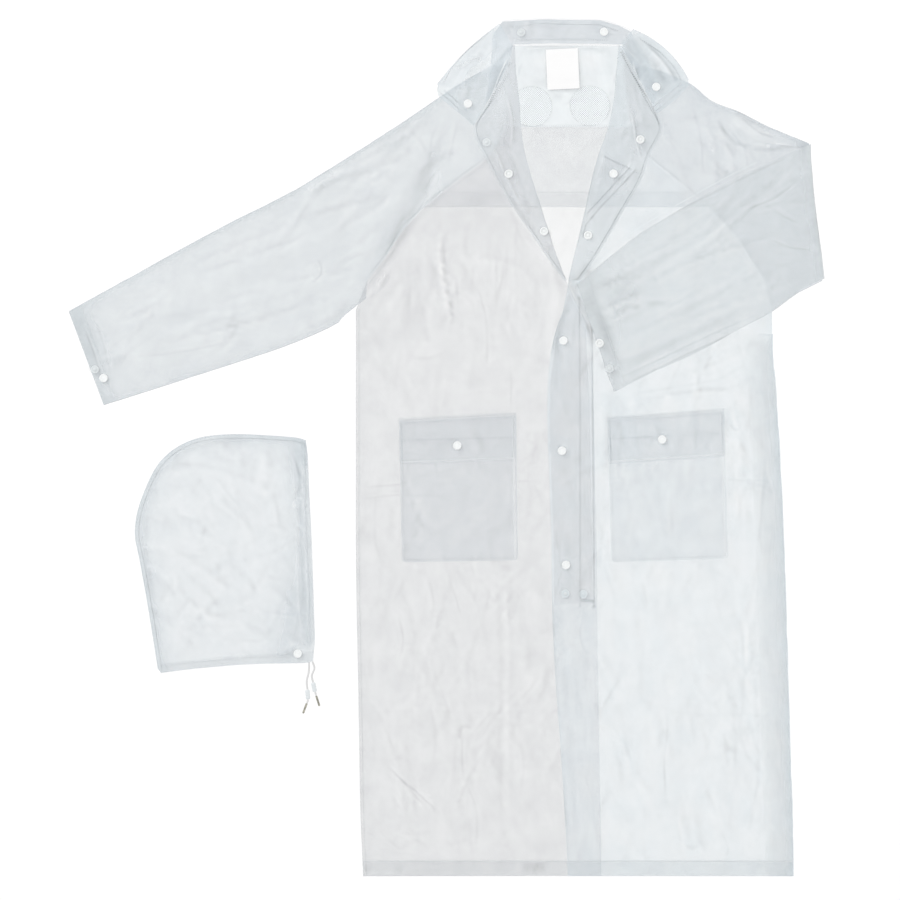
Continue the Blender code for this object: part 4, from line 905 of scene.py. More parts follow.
def sewn_lines():
    """Seams, hems and edges. Columns as in Sewn."""
    hem = HEM + HEM_DEPTH
    rims = [ring(spot, RIM_DIAMETER, 40) for spot in VENTS.values()]
    fly_end = [(205, 338), (209, 349), (230, 371), (260, 404), (274, 418), (251, 428), (235, 437)]
    casing = [(-212, 6), (-211, -79), (-209, -139), (-205, -229), (-204, -300)]
    rows = [
        ("back", [(-125, hem), (517, hem)], 1.0, 0.2, 0.08, -0.4),
        ("cape", [(5, 383), (365, 383)], 1.0, 0.2, 0.08, -0.4),
        ("yoke", [(88, 482), (276, 482)], 1.2, 0.2, 0.05, -0.2),
        *(("yoke", rim + rim[:1], 1.7, 0.3, 0.16, -0.25, False) for rim in rims),
        # A painted highlight along the neck seam.
        ("yoke", [(121, 598), (158, 600), (238, 600)], 2.2, 0.2, 0.12, 0.7),
        ("front_right.body", [(-125, hem), (230, hem)], 1.4, 0.2, 0.05, 0.6),
        ("front_left.body", [(181, hem), (517, hem)], 1.4, 0.2, 0.05, 0.6),
        ("front_left.body", [(199, 221), (200, 60), (200, -236)], 1.3, 0.2, 0.20, -0.8),
        ("front_left.body", [(218, 176), (219, 60), (221, -236)], 1.9, 0.3, 0.26, -0.6),
        ("front_left.body", [(203, -229), (219, -230)], 3.2, 0.3, 0.32, -0.6),
        ("front_right.body", moved(upper("raglan_right", 478), 5), 1.0, 0.2, 0.06, -0.5),
        ("sleeve_right.upper", moved(upper("raglan_right", 478), -3), 1.4, 0.3, 0.08, -0.3),
        ("sleeve_left.upper", moved(upper("raglan_left", 478), 3), 1.4, 0.3, 0.04, -0.15),
        ("front_left.body", moved(upper("raglan_left", 478), -5), 1.0, 0.2, 0.02, -0.1, False),
        ("sleeve_right.upper", cuff_inner(SLEEVE_RIGHT_AXIS, cuff_right_ends()), 1.1, 0.2, 0.03, -0.1),
        ("forearm.upper", cuff_inner(FOREARM_AXIS, CUFF_LEFT), 1.1, 0.2, 0.03, -0.1),
        ("forearm.upper", moved(forearm_lines()[0], -9), 1.2, 0.2, 0.06, -0.3),
        ("front_right.lapel", moved(upper("lapel_right", 560), 4), 1.0, 0.2, 0.10, -0.5),
        ("front_left.lapel", moved(upper("lapel_left", 560), -4), 1.0, 0.2, 0.10, -0.5),
        ("front_right.lapel", [(97, 575), (89, 569), (64, 515), (46, 487)], 1.3, 0.3, 0.10, -0.5),
        ("front_left.lapel", [(262, 590), (276, 562), (306, 516), (318, 486)], 1.4, 0.3, 0.16, -0.6),
        ("fall.leaves", [(-8, 530), (4, 521), (16, 509), (31, 497), (41, 485)], 0.9, 0.2, 0.12, -0.5),
        ("fall.leaves", [(-2, 534), (10, 524), (22, 512), (36, 499)], 0.9, 0.2, 0.08, -0.5),
        ("fall.leaves", [(355, 539), (340, 526), (326, 514), (314, 504)], 0.9, 0.2, 0.12, -0.5),
        ("fall.leaves", [(350, 544), (336, 532), (322, 520), (310, 510)], 0.9, 0.2, 0.08, -0.5),
        ("fall.leaves", [(291, 611), (318, 594), (338, 574), (352, 550)], 1.0, 0.2, 0.08, -0.5),
        ("fall.leaves", [(62, 620), (28, 592), (6, 566), (-3, 548)], 1.0, 0.2, 0.08, -0.5),
        ("stand", [(110, 610), (160, 611), (240, 610)], 1.0, 0.2, 0.12, -0.4),
        ("stand", [(100, 630), (140, 635), (230, 633), (256, 625)], 1.0, 0.2, 0.10, -0.4),
        ("fly_upper", fly_end, 1.4, 0.3, 0.34, -0.8),
        ("front_left.lapel", [(281, 413), (231, 360), (209, 334), (205, 318)], 2.2, 0.3, 0.20, -0.4, False),
        ("hood.band", [(-428, -328), (-370, -321), (-295, -315), (-214, -311)], 0.9, 0.2, 0.14, -0.5),
        ("hood.casing", casing, 0.9, 0.2, 0.14, -0.5),
        ("hood.over", moved(hood_lines()[0], 6), 1.0, 0.2, 0.10, -0.5),
        ("front_left.body", moved(lower("side_left"), 5), 1.0, 0.2, 0.08, -0.4, False),
        ("front_right.body", moved(lower("side_right"), 5), 1.0, 0.2, 0.08, -0.4, False),
    ]
    for side in ("right", "left"):
        pocket, flap = f"pocket_{side}", f"flap_{side}"
        (a, b, c, d), (e, f, g, h) = inset(pocket, 4), inset(flap, 4)
        rows += [
            (pocket, [a, d, c, b], 0.9, 0.2, 0.10, -0.5),
            (pocket, [b, c], 2.0, 0.2, 0.14, 0.9, False),
            (pocket, [np.add(a, (0, -25)), np.add(b, (0, -29))], 1.2, 0.2, 0.12, -0.5),
            (flap, inset(flap, 3)[:2], 0.9, 0.2, 0.12, -0.5),
            (flap, inset(flap, 8)[:2], 0.9, 0.2, 0.10, -0.5),
            (flap, [h, g], 1.3, 0.3, 0.28, 0.95),
            (flap, [e, h], 0.9, 0.2, 0.10, -0.5),
            (flap, [f, g], 0.9, 0.2, 0.10, -0.5),
        ]
    return [Sewn(ply, straight(list(map(tuple, line)), SEWN_STEP), *facts) for ply, line, *facts in rows]


@cache
def wrinkles():
    """Every ply's wrinkles, those listed and the strewn ones, and its sewn lines."""
    found = {}
    for ply, rows in WRINKLES.items():
        found[ply] = [(curved(row[4:], SEWN_STEP), *row[:4], True) for row in rows]
    rng = np.random.default_rng(STREWN_SEED)
    plies = ply_table()
    for ply, low, high, count, direction, spread, length in STREWN:
        outlines = plies[ply].outlines
        for _ in range(count):
            start = rng.uniform(low, high)
            turn = math.radians(direction + rng.normal(0, spread))
            bend = rng.normal(0, STREWN_BEND)
            run = length * rng.uniform(*STREWN_RUN)
            half_width, lift, haze, tone_and_painted_light = (rng.uniform(*limits) for limits in STREWN_LIMITS)
            line = [tuple(start)]
            for _ in range(STREWN_PARTS):
                start = start + np.array((math.cos(turn), math.sin(turn))) * run / STREWN_PARTS
                turn += bend / STREWN_PARTS
                line.append(tuple(start))
            tone_and_painted_light = tone_and_painted_light if abs(tone_and_painted_light) > FAINT_PAINTED_LIGHT else LEAST_PAINTED_LIGHT
            if any(inside(np.array(line), outline).all() for outline in outlines):
                row = (curved(line, SEWN_STEP), half_width, lift, haze * STREWN_HAZE, tone_and_painted_light, True)
                found.setdefault(ply, []).append(row)
    for ply, line, half_width, lift, haze, tone_and_painted_light, _ in sewn_lines():
        found.setdefault(ply, []).append((line, half_width, lift, haze, tone_and_painted_light, False))
    return found


# ---------------------------------------------------------------- the coat's plan and heights
SWELL = 1.2  # lift of the film over air, away from creases
SWELLS = ((0.55, 90, 31), (0.3, 34, 32))  # and how it varies: amount, size, seed
WOBBLE, MOST_WOBBLE, WOBBLE_SIZE, WOBBLE_SEED = 0.16, 0.35, 26, 100  # each ply's own unevenness


def inside(points, outline):
    """Which points lie inside an outline."""
    x, y = points[:, 0], points[:, 1]
    found = np.zeros(len(points), bool)
    corners = np.array(outline, float)
    for (x0, y0), (x1, y1) in zip(corners, np.roll(corners, -1, axis=0)):
        if y0 != y1:
            crosses = (y0 > y) != (y1 > y)
            found ^= crosses & (x < (x1 - x0) * (y - y0) / (y1 - y0) + x0)
    return found


def distance(points, line, closed=False, reach=1e9):
    """How far each point lies from a line, up to a reach."""
    corners = np.array(line, float)
    if closed:
        corners = np.vstack((corners, corners[:1]))
    nearest = np.full(len(points), reach)
    low, high = corners.min(axis=0) - reach, corners.max(axis=0) + reach
    near = np.nonzero(((points > low) & (points < high)).all(axis=1))[0]
    spots = points[near]
    found = nearest[near]
    for start, end in zip(corners, corners[1:]):
        run = end - start
        share = np.clip(((spots - start) @ run) / max(float(run @ run), 1e-12), 0, 1)
        gap = spots - start - share[:, None] * run
        found = np.minimum(found, np.hypot(gap[:, 0], gap[:, 1]))
    nearest[near] = found
    return nearest


def beside(points, line, reach):
    """For the points within reach of a line: which they are, how far, on which side, how far along."""
    corners = np.array(line, float)
    low, high = corners.min(axis=0) - reach, corners.max(axis=0) + reach
    near = np.nonzero(((points > low) & (points < high)).all(axis=1))[0]
    spots = points[near]
    best, side, share = np.full(len(near), reach), np.zeros(len(near)), np.zeros(len(near))
    lengths = np.linalg.norm(np.diff(corners, axis=0), axis=1)
    done = np.concatenate(([0], np.cumsum(lengths)))
    for start, end, length, before in zip(corners, corners[1:], lengths, done):
        run = (end - start) / max(length, 1e-9)
        along = np.clip((spots - start) @ run, 0, length)
        gap = spots - start - along[:, None] * run
        away = np.hypot(gap[:, 0], gap[:, 1])
        closer = away < best
        best[closer] = away[closer]
        side[closer] = np.sign(run[0] * gap[:, 1] - run[1] * gap[:, 0])[closer]
        share[closer] = (before + along[closer]) / done[-1]
    kept = best < reach
    return near[kept], best[kept], side[kept], share[kept]


def wrinkle_weights(points, line, half_width, tapered):
    """How strongly a wrinkle's crest and its flank act on the points beside it."""
    near, away, side, share = beside(points, line, WRINKLE_REACH * half_width)
    taper = np.clip(np.minimum(share, 1 - share) / TAPER, 0, 1) if tapered else np.ones(len(near))
    taper = taper * taper * (3 - 2 * taper)
    crest = np.clip(1 - (away / half_width) ** 2, 0, 1) ** 2
    flank = np.clip(1 - ((away * side - half_width) / (FLANK_WIDTH * half_width)) ** 2, 0, 1) ** 2
    return near, crest * taper, flank * taper * tapered


def doubled_area(a, b, c):
    """Twice the signed area of triangles, positive where their corners run to the left."""
    (x1, y1), (x2, y2) = (b - a).T, (c - a).T
    return x1 * y2 - y1 * x2


class Coat:
    """The plan of triangles that all plies share, and each ply's height over it."""

    def __init__(self):
        self.plies = ply_table()
        closed = [outline for ply in self.plies.values() for outline in ply.outlines]
        closed += [ply.clip for ply in self.plies.values() if ply.clip]
        self.plan, self.triangles = self.drawn_plan(closed)
        centers = self.plan[self.triangles].mean(axis=1)
        self.regions = {name: self.covered(ply, centers) for name, ply in self.plies.items()}
        self.lifts = {name: self.lifted(name) for name in CREASES}
        self.heights = self.settled()
        flat = [(x, y, 0.0) for x, y in self.plan]
        self.finder = BVHTree.FromPolygons(flat, self.triangles.tolist())

    def drawn_plan(self, closed):
        lines = {tuple(map(tuple, [*line, line[0]])): True for line in closed}
        for rows in wrinkles().values():
            for line, half_width, _, _, _, _ in rows:
                if half_width < NARROW:
                    for shift in (-half_width, 0, half_width):
                        lines[tuple(map(tuple, moved(line, shift) if shift else line))] = False
        points, edges = [], []
        near = KDTree(2 * sum(map(len, lines)))
        for line, is_closed in lines.items():
            first = len(points)
            corners = line[:-1] if is_closed else line
            points += [Vector(point) for point in corners]
            count = len(corners)
            edges += [(first + i, first + (i + 1) % count) for i in range(count if is_closed else count - 1)]
            for start, end in zip(line, line[1:]):
                near.insert((*start, 0), 0)
                near.insert(((start[0] + end[0]) / 2, (start[1] + end[1]) / 2, 0), 0)
        near.balance()
        (left, bottom), (right, top) = PLAN_BOX
        free = []
        for row, y in enumerate(np.arange(bottom, top, PLAN_STEP * math.sqrt(3) / 2)):
            free += [(x, y) for x in np.arange(left + PLAN_STEP / 2 * (row % 2), right, PLAN_STEP)]
        free = np.array(free)
        free += np.random.default_rng(PLAN_SEED).uniform(-PLAN_SHAKE, PLAN_SHAKE, free.shape) * PLAN_STEP
        covered = np.zeros(len(free), bool)
        for ply in self.plies.values():
            for outline in ply.outlines:
                if not covered.all():
                    rest = np.nonzero(~covered)[0]
                    covered[rest] = inside(free[rest], outline)
        for point in free[covered]:
            if near.find((*point, 0))[2] > PLAN_CLEAR * PLAN_STEP:
                points.append(Vector(point))
        corners, _, faces, _, _, _ = delaunay_2d_cdt(points, edges, [], 0, SAME_POINT)
        plan = np.array([tuple(corner) for corner in corners])
        triangles = np.array([face for face in faces if len(face) == 3])
        turn = doubled_area(*(plan[triangles[:, i]] for i in range(3)))
        triangles[turn < 0] = triangles[turn < 0][:, ::-1]
        kept = np.abs(plan[triangles].mean(axis=1)).max(axis=1) < PLAN_END
        return plan, triangles[kept]

    def covered(self, ply, centers):
        found = np.zeros(len(centers), bool)
        for outline in ply.outlines:
            found |= inside(centers, outline)
        if ply.clip:
            found &= inside(centers, ply.clip)
        return found

    def lifted(self, group):
        """How far a group's creases raise the film at each corner."""
        lift = np.zeros(len(self.plan))
        for half_width, height, *line in CREASES[group]:
            gap = distance(self.plan, curved(line, CREASE_STEP), reach=half_width)
            share = np.clip(1 - (gap / half_width) ** 2, 0, 1)
            lift += height * share**2
        swell = SWELL
        for amount, size, seed in SWELLS:
            swell = swell + amount * wave_field(self.plan, size, seed)
        calm = np.ones(len(self.plan))
        for place, _, _ in SNAPS.values():
            gap = np.linalg.norm(self.plan - place, axis=1) / SNAP_CALM
            calm = np.minimum(calm, np.clip(CALMEST + (1 - CALMEST) * (gap - CALM_INNER), CALMEST, 1))
        return np.maximum(lift + swell, 0) * calm

    def settled(self):
        """Height of each ply: those below add their pitch, less and less past their own edge."""
        under, added, heights = {}, {}, {}
        for name, ply in self.plies.items():
            below = set(ply.rests_on)
            for other in ply.rests_on:
                below |= under.get(other, set())
            under[name] = below
            total = np.zeros(len(self.plan))
            for other in below:
                total += self.lifts[other] if other in self.lifts else added[other]
            own = np.zeros(len(self.plan))
            for line, half_width, lift, _, _, tapered in wrinkles().get(name, ()):
                near, crest, _ = wrinkle_weights(self.plan, line, half_width, tapered)
                own[near] = np.maximum(own[near], lift * crest)
            if name in BRIDGING:
                total = np.maximum(total, self.smoothed(total))
            heights[name] = total + own
            past = np.min([self.past(outline) for outline in ply.outlines], axis=0)
            if ply.clip:
                past = np.maximum(past, self.past(ply.clip))
            share = np.clip(1 - past / SETTLE, 0, 1)
            added[name] = ply.pitch * share**2 * (3 - 2 * share) + own * PASSED_ON
        return heights

    def past(self, outline):
        """How far each corner lies past an outline, up to the reach in which plies settle."""
        away = distance(self.plan, outline, closed=True, reach=SETTLE)
        away[inside(self.plan, outline)] = 0
        return away

    def smoothed(self, values):
        """Heights evened out over the plan."""
        pairs = np.unique(np.sort(np.vstack([self.triangles[:, [i, (i + 1) % 3]] for i in range(3)])), axis=0)
        both = np.concatenate((pairs, pairs[:, ::-1]))
        count = np.bincount(both[:, 0], minlength=len(values))
        for _ in range(BRIDGE_STEPS):
            values = np.bincount(both[:, 0], values[both[:, 1]], len(values)) / np.maximum(count, 1)
        return values

    def film_height(self, ply):
        """The middle of a ply's film at each corner of the plan."""
        seed = WOBBLE_SEED + list(self.plies).index(ply)
        wobble = WOBBLE * wave_field(self.plan, WOBBLE_SIZE, seed)
        return self.heights[ply] + FILM_REST + np.clip(wobble, -MOST_WOBBLE, MOST_WOBBLE)

    def height_at(self, points, ply):
        """The film's height at places on a ply."""
        film = self.film_height(ply)
        found = []
        for x, y in points:
            spot, _, index, _ = self.finder.find_nearest((x, y, 0.0))
            corners = self.plan[self.triangles[index]]
            weights = barycentric(np.array(spot[:2]), corners)
            found.append(float(film[self.triangles[index]] @ weights))
        return np.array(found)

    def area(self, plies):
        """Flat area of some plies, in square metres."""
        sizes = np.abs(doubled_area(*(self.plan[self.triangles[:, i]] for i in range(3)))) / 2
        return sum(float(sizes[self.regions[ply]].sum()) for ply in plies) * MM * MM


def barycentric(spot, corners):
    """A spot's weights in a triangle."""
    a, b, c = corners
    whole = doubled_area(a, b, c)
    second, third = doubled_area(a, spot, c) / whole, doubled_area(a, b, spot) / whole
    return np.array((1 - second - third, second, third))


@cache
def coat():
    return Coat()


# ---------------------------------------------------------------- film sheets
# Plies that face the surface below; the others face up.
FACING_DOWN = (
    "fall.back", "sleeve_right.lower", "sleeve_right.cuff_upper", "sleeve_left.lower", "forearm.lower",
    "forearm.cuff_upper", "front_right.lapel", "front_left.lapel", "front_left.turn", "front_right.hem",
    "front_left.hem", "cape.hem", "back.hem",
)
# How the film of each ply looks. Columns: its colour in the light, the share of light that it holds back.
PLY_LOOKS = {
    "back": ((0.57, 0.59, 0.60), 0.345),
    "cape": ((0.55, 0.585, 0.63), 0.34),
    "yoke": ((0.90, 0.96, 0.985), 0.47),
    "fall.back": ((0.56, 0.60, 0.64), 0.24),
    "fall.leaves": ((0.62, 0.69, 0.73), 0.46),
    "stand": ((0.52, 0.575, 0.62), 0.64),
    "front_right.body": ((0.515, 0.524, 0.550), 0.30),
    "front_right.lapel": ((0.62, 0.66, 0.69), 0.50),
    "front_left.body": ((0.60, 0.72, 0.79), 0.23),
    "front_left.turn": ((0.56, 0.58, 0.59), 0.46),
    "front_left.lapel": ((0.61, 0.655, 0.68), 0.54),
    "fly_lower": ((0.57, 0.57, 0.58), 0.40),
    "fly_upper": ((0.55, 0.59, 0.62), 0.16),
    "sleeve_right.lower": ((0.54, 0.585, 0.62), 0.39),
    "sleeve_right.upper": ((0.53, 0.58, 0.61), 0.39),
    "sleeve_left.lower": ((0.51, 0.57, 0.61), 0.40),
    "sleeve_left.upper": ((0.51, 0.565, 0.61), 0.40),
    "forearm.lower": ((0.60, 0.66, 0.69), 0.30),
    "forearm.upper": ((0.60, 0.64, 0.66), 0.28),
    "pocket_right": ((0.545, 0.59, 0.63), 0.40),
    "pocket_left": ((0.55, 0.60, 0.64), 0.27),
    "flap_right": ((0.56, 0.60, 0.63), 0.24),
    "flap_left": ((0.56, 0.60, 0.63), 0.26),
    "hood.under": ((0.54, 0.59, 0.63), 0.29),
    "hood.over": ((0.53, 0.59, 0.63), 0.30),
    "hood.casing": ((0.52, 0.57, 0.60), 0.22),
}
HEM_LOOK = ((0.54, 0.58, 0.60), 0.20)
LIGHT = 1.10  # how bright the light on the coat is, so that a film's colour looks as the table says
HIGHLIGHT_AND_PALE_WHITE = 0.92  # colour that a positive tone pulls the film to: painted highlights on wrinkles and seams, and the film's paler random patches
LEAST_HAZE, MOST_HAZE = 0.02, 0.9
SHADE_SEED = 300
CUFF_DARK = ((-560, 196), (-548, 172), (-536, 150))  # where the right cuff's corner is drawn darker
THINNING = -0.32  # of a cuff's turned plies, towards their inner edge


def dense_edges():
    """Lines along which a ply looks denser or thinner. Columns: line, reach, haze."""
    shoulder, underarm = sleeve_right_lines()
    above, below = forearm_lines()
    back, neck, face = hood_lines()
    inner_right = ((cuff_inner(SLEEVE_RIGHT_AXIS, cuff_right_ends()), 18, THINNING),)
    inner_left = ((cuff_inner(FOREARM_AXIS, CUFF_LEFT), 18, THINNING),)
    side_left, side_right = lower("side_left"), lower("side_right")
    turn = lower("side_left", SIDE_TURN_TOP)
    return {
        "sleeve_right.upper": (
            (shoulder, 12, 0.16),
            (shoulder, 4, 0.16),
            (underarm, 8, 0.20),
            (cuff_right_ends(), 20, 0.34),
            (CUFF_DARK, 18, 0.70),
            (upper("raglan_right", 478), 14, 0.10),
        ),
        "sleeve_right.cuff_upper": inner_right,
        "sleeve_right.cuff_lower": inner_right,
        "sleeve_left.upper": ((curved(SHOULDER_LEFT), 9, 0.26), (arm_fold(), 24, 0.08)),
        "forearm.upper": (
            (above, 10, 0.12),
            (below, 12, 0.14),
            (arm_fold(), 26, 0.42),
            (arm_fold(), 6, 0.30),
            # Painted shade: the wide soft shadow over the left cuff and its corner, laid on as denser film.
            (CUFF_LEFT, 30, 0.26),
            ([(212, 258), (238, 188)], 24, 0.60),
            ([(208, 244), (266, 234)], 24, 0.46),
        ),
        "forearm.cuff_upper": inner_left,
        "forearm.cuff_lower": inner_left,
        "front_left.body": ((side_left, 9, 0.16), (lower("over_edge"), 5, 0.10)),
        "front_left.turn": (
            (moved(turn, -SIDE_TURN), 13, -0.40),
            ([(440, SIDE_TURN_TOP), (500, SIDE_TURN_TOP)], 22, -0.42),
            (side_left, 9, 0.50),
        ),
        "front_right.body": ((side_right, 9, 0.16), (upper("raglan_right", 478), 34, 0.12)),
        "fly_lower": (([(150, -237), (230, -237)], 14, -0.30),),
        "hood.over": (
            (back, 17, 0.50),
            (moved(face, 13), 8, 0.46),
            (neck, 8, 0.12),
            ([(-211, 8), (-216, -20)], 18, 0.34),
            ([(-230, -222), (-240, -305)], 26, 0.34),
            (moved(face, 28), 12, 0.12),
        ),
        "fall.leaves": (
            ([(-8, 560), (20, 592), (62, 628)], 12, 0.06),
            ([(-13, 544), (4, 521)], 12, 0.20),
            ([(292, 612), (330, 582), (358, 548)], 14, 0.12),
        ),
        "front_right.lapel": ((upper("roll_right", 520), 8, 0.10), (upper("lapel_right", 520), 8, 0.06)),
        "front_left.lapel": ((upper("roll_left", 560), 9, 0.10), (upper("lapel_left", 560), 10, 0.08)),
        "stand": (([(60, 640), (300, 640)], 8, 0.10),),
    }


# Direction in which the wrinkles of each part run, in degrees, by the start of a ply's name.
GRAIN = {
    "sleeve_right": 31.6,
    "sleeve_left": -22.0,
    "forearm": 29.9,
    "hood": 128.0,
    "fall": 62.0,
    "stand": 0.0,
    "cape": 84.0,
}
BODY_GRAIN = 90.0
GRAIN_STRETCH = 2.4  # how much longer than wide the wrinkles are
PATTERN_SHIFT = (137.0, 71.0)  # from one ply's pattern to the next one's
UNEVEN_HAZE = ((0.020, 60, 0), (0.008, 22, 50))  # amount, size, shift of the seed
UNEVEN_TONE = (0.02, 40, 100)
EDGE_FADE = 4  # reaches over which a dense edge fades out
FLANK_HAZE, FLANK_PAINTED_LIGHT = 0.6, 0.8  # of a wrinkle's flank, as shares of its crest's; the flank takes painted light opposite to its crest's
DARKEST = -0.85


def ply_shade(name):
    """Colour with its painted light and shade, hold and pattern place of a ply's film at each corner of the
    plan.
    """
    body = coat()
    seed = SHADE_SEED + list(body.plies).index(name)
    color, hold = PLY_LOOKS.get(name, HEM_LOOK)
    haze = hold
    for amount, size, shift in UNEVEN_HAZE:
        haze = haze + amount * wave_field(body.plan, size, seed + shift)
    for line, reach, amount in dense_edges().get(name, ()):
        gap = distance(body.plan, line, reach=reach * EDGE_FADE)
        haze += amount * np.exp(-gap / reach) * (1 - gap / (reach * EDGE_FADE))
    amount, size, shift = UNEVEN_TONE
    tone_and_painted_light = amount * wave_field(body.plan, size, seed + shift)
    for line, half_width, _, amount, lean, tapered in wrinkles().get(name, ()):
        near, crest, flank = wrinkle_weights(body.plan, line, half_width, tapered)
        haze[near] += amount * (crest + FLANK_HAZE * flank)
        tone_and_painted_light[near] += lean * (crest - FLANK_PAINTED_LIGHT * flank)
    # Below zero the tone darkens the colour, above zero it whitens it. On wrinkles and some sewn lines this
    # is painted shade and painted highlight; the uneven part is the film's own random tone.
    tone_and_painted_light = np.clip(tone_and_painted_light, DARKEST, 1)[:, None]
    tint = np.array(color) / LIGHT
    tint = np.where(tone_and_painted_light < 0, tint * (1 + tone_and_painted_light), tint + tone_and_painted_light * (HIGHLIGHT_AND_PALE_WHITE - tint))
    turn = math.radians(GRAIN.get(name.split(".")[0], BODY_GRAIN))
    along, across = np.array((math.cos(turn), math.sin(turn))), np.array((-math.sin(turn), math.cos(turn)))
    cloth = np.column_stack((body.plan @ along / GRAIN_STRETCH, body.plan @ across, np.zeros(len(haze))))
    cloth += (seed * PATTERN_SHIFT[0], seed * PATTERN_SHIFT[1], 0)
    return np.column_stack((tint, np.clip(haze, LEAST_HAZE, MOST_HAZE), cloth * MM))


FOLD_REACH = 1.0
ON_FOLD = 0.15  # an edge this close to a fold's line is a part of it
MOST_BULGE = 1.2  # how far a fold stands out past its line


def boundary(triangles):
    """Directed edges of a region that have no triangle on their other side."""
    edges = np.vstack([triangles[:, [i, (i + 1) % 3]] for i in range(3)])
    known = set(map(tuple, edges.tolist()))
    return {(start, end) for start, end in known if (end, start) not in known}


def film_mesh(name, plies, folds):
    """One sheet of film: its plies, joined round their folded edges."""
    body = coat()
    points, faces, shades = [], [], []
    index_of, rims = {}, {}
    count = 0
    for ply in plies:
        triangles = body.triangles[body.regions[ply]]
        used, local = np.unique(triangles, return_inverse=True)
        film = body.film_height(ply)
        points.append(np.column_stack((body.plan[used], film[used])))
        shades.append(ply_shade(ply)[used])
        local = local.reshape(-1, 3) + count
        faces += (local[:, ::-1] if ply in FACING_DOWN else local).tolist()
        index_of[ply] = dict(zip(used.tolist(), range(count, count + len(used))))
        rims[ply] = boundary(triangles)
        count += len(used)
    points, shades = list(np.vstack(points)), list(np.vstack(shades))
    for low, high, line in folds:
        shared = rims[low] & rims[high]
        flipped = low not in FACING_DOWN and high in FACING_DOWN
        corners = sorted({corner for edge in shared for corner in edge})
        spots = body.plan[corners]
        gaps = distance(spots, line, reach=FOLD_REACH)
        on_line = {corner for corner, gap in zip(corners, gaps) if gap < ON_FOLD}
        kept = [edge for edge in shared if edge[0] in on_line and edge[1] in on_line]
        outward = {}
        for start, end in kept:
            run = body.plan[end] - body.plan[start]
            for corner in (start, end):
                outward[corner] = outward.get(corner, 0) + np.array((run[1], -run[0]))
        middle = {}
        for corner, side in outward.items():
            a, b = points[index_of[low][corner]], points[index_of[high][corner]]
            bulge = side / max(np.linalg.norm(side), 1e-9) * min(abs(b[2] - a[2]) / 2, MOST_BULGE)
            middle[corner] = len(points)
            points.append(np.array((*(body.plan[corner] + bulge), (a[2] + b[2]) / 2)))
            shades.append(shades[index_of[high][corner]])
        for start, end in kept:
            for first, second in ((index_of[low], middle), (middle, index_of[high])):
                quad = [first[end], first[start], second[start], second[end]]
                faces.append(quad[::-1] if flipped else quad)
    mesh = bpy.data.meshes.new(name)
    mesh.from_pydata((np.array(points) * MM).tolist(), [], faces)
    shades = np.array(shades, np.float32)
    tint = np.column_stack((shades[:, :3], np.ones(len(shades), np.float32)))
    mesh.attributes.new("tint", "FLOAT_COLOR", "POINT").data.foreach_set("color", tint.ravel())
    mesh.attributes.new("haze", "FLOAT", "POINT").data.foreach_set("value", shades[:, 3])
    mesh.attributes.new("cloth", "FLOAT_VECTOR", "POINT").data.foreach_set("vector", shades[:, 4:].ravel())
    return mesh


def linked(name, data):
    obj = bpy.data.objects.new(name, data)
    bpy.context.scene.collection.objects.link(obj)
    return obj


def finished(obj, sharp=40.0):
    """Applies an object's modifiers, and shades it smooth up to an angle."""
    depsgraph = bpy.context.evaluated_depsgraph_get()
    made = bpy.data.meshes.new_from_object(obj.evaluated_get(depsgraph))
    obj.modifiers.clear()
    obj.data = made
    made.shade_smooth()
    made.set_sharp_from_angle(angle=math.radians(sharp))
    return obj


def dressed(obj, node, material=None):
    """Sets a piece on the part in place of one of its solids."""
    if material:
        obj.data.materials.clear()
        obj.data.materials.append(material)
    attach(obj, "root")
    if node:
        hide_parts(node)
    return obj


class Cut(NamedTuple):
    plies: tuple
    flat: tuple  # width and length that the piece is cut to, in metres
    rests_on: tuple = ()
    held: str = "laid"


def plies_of(part, *names):
    return tuple(f"{part}.{name}" for name in names)


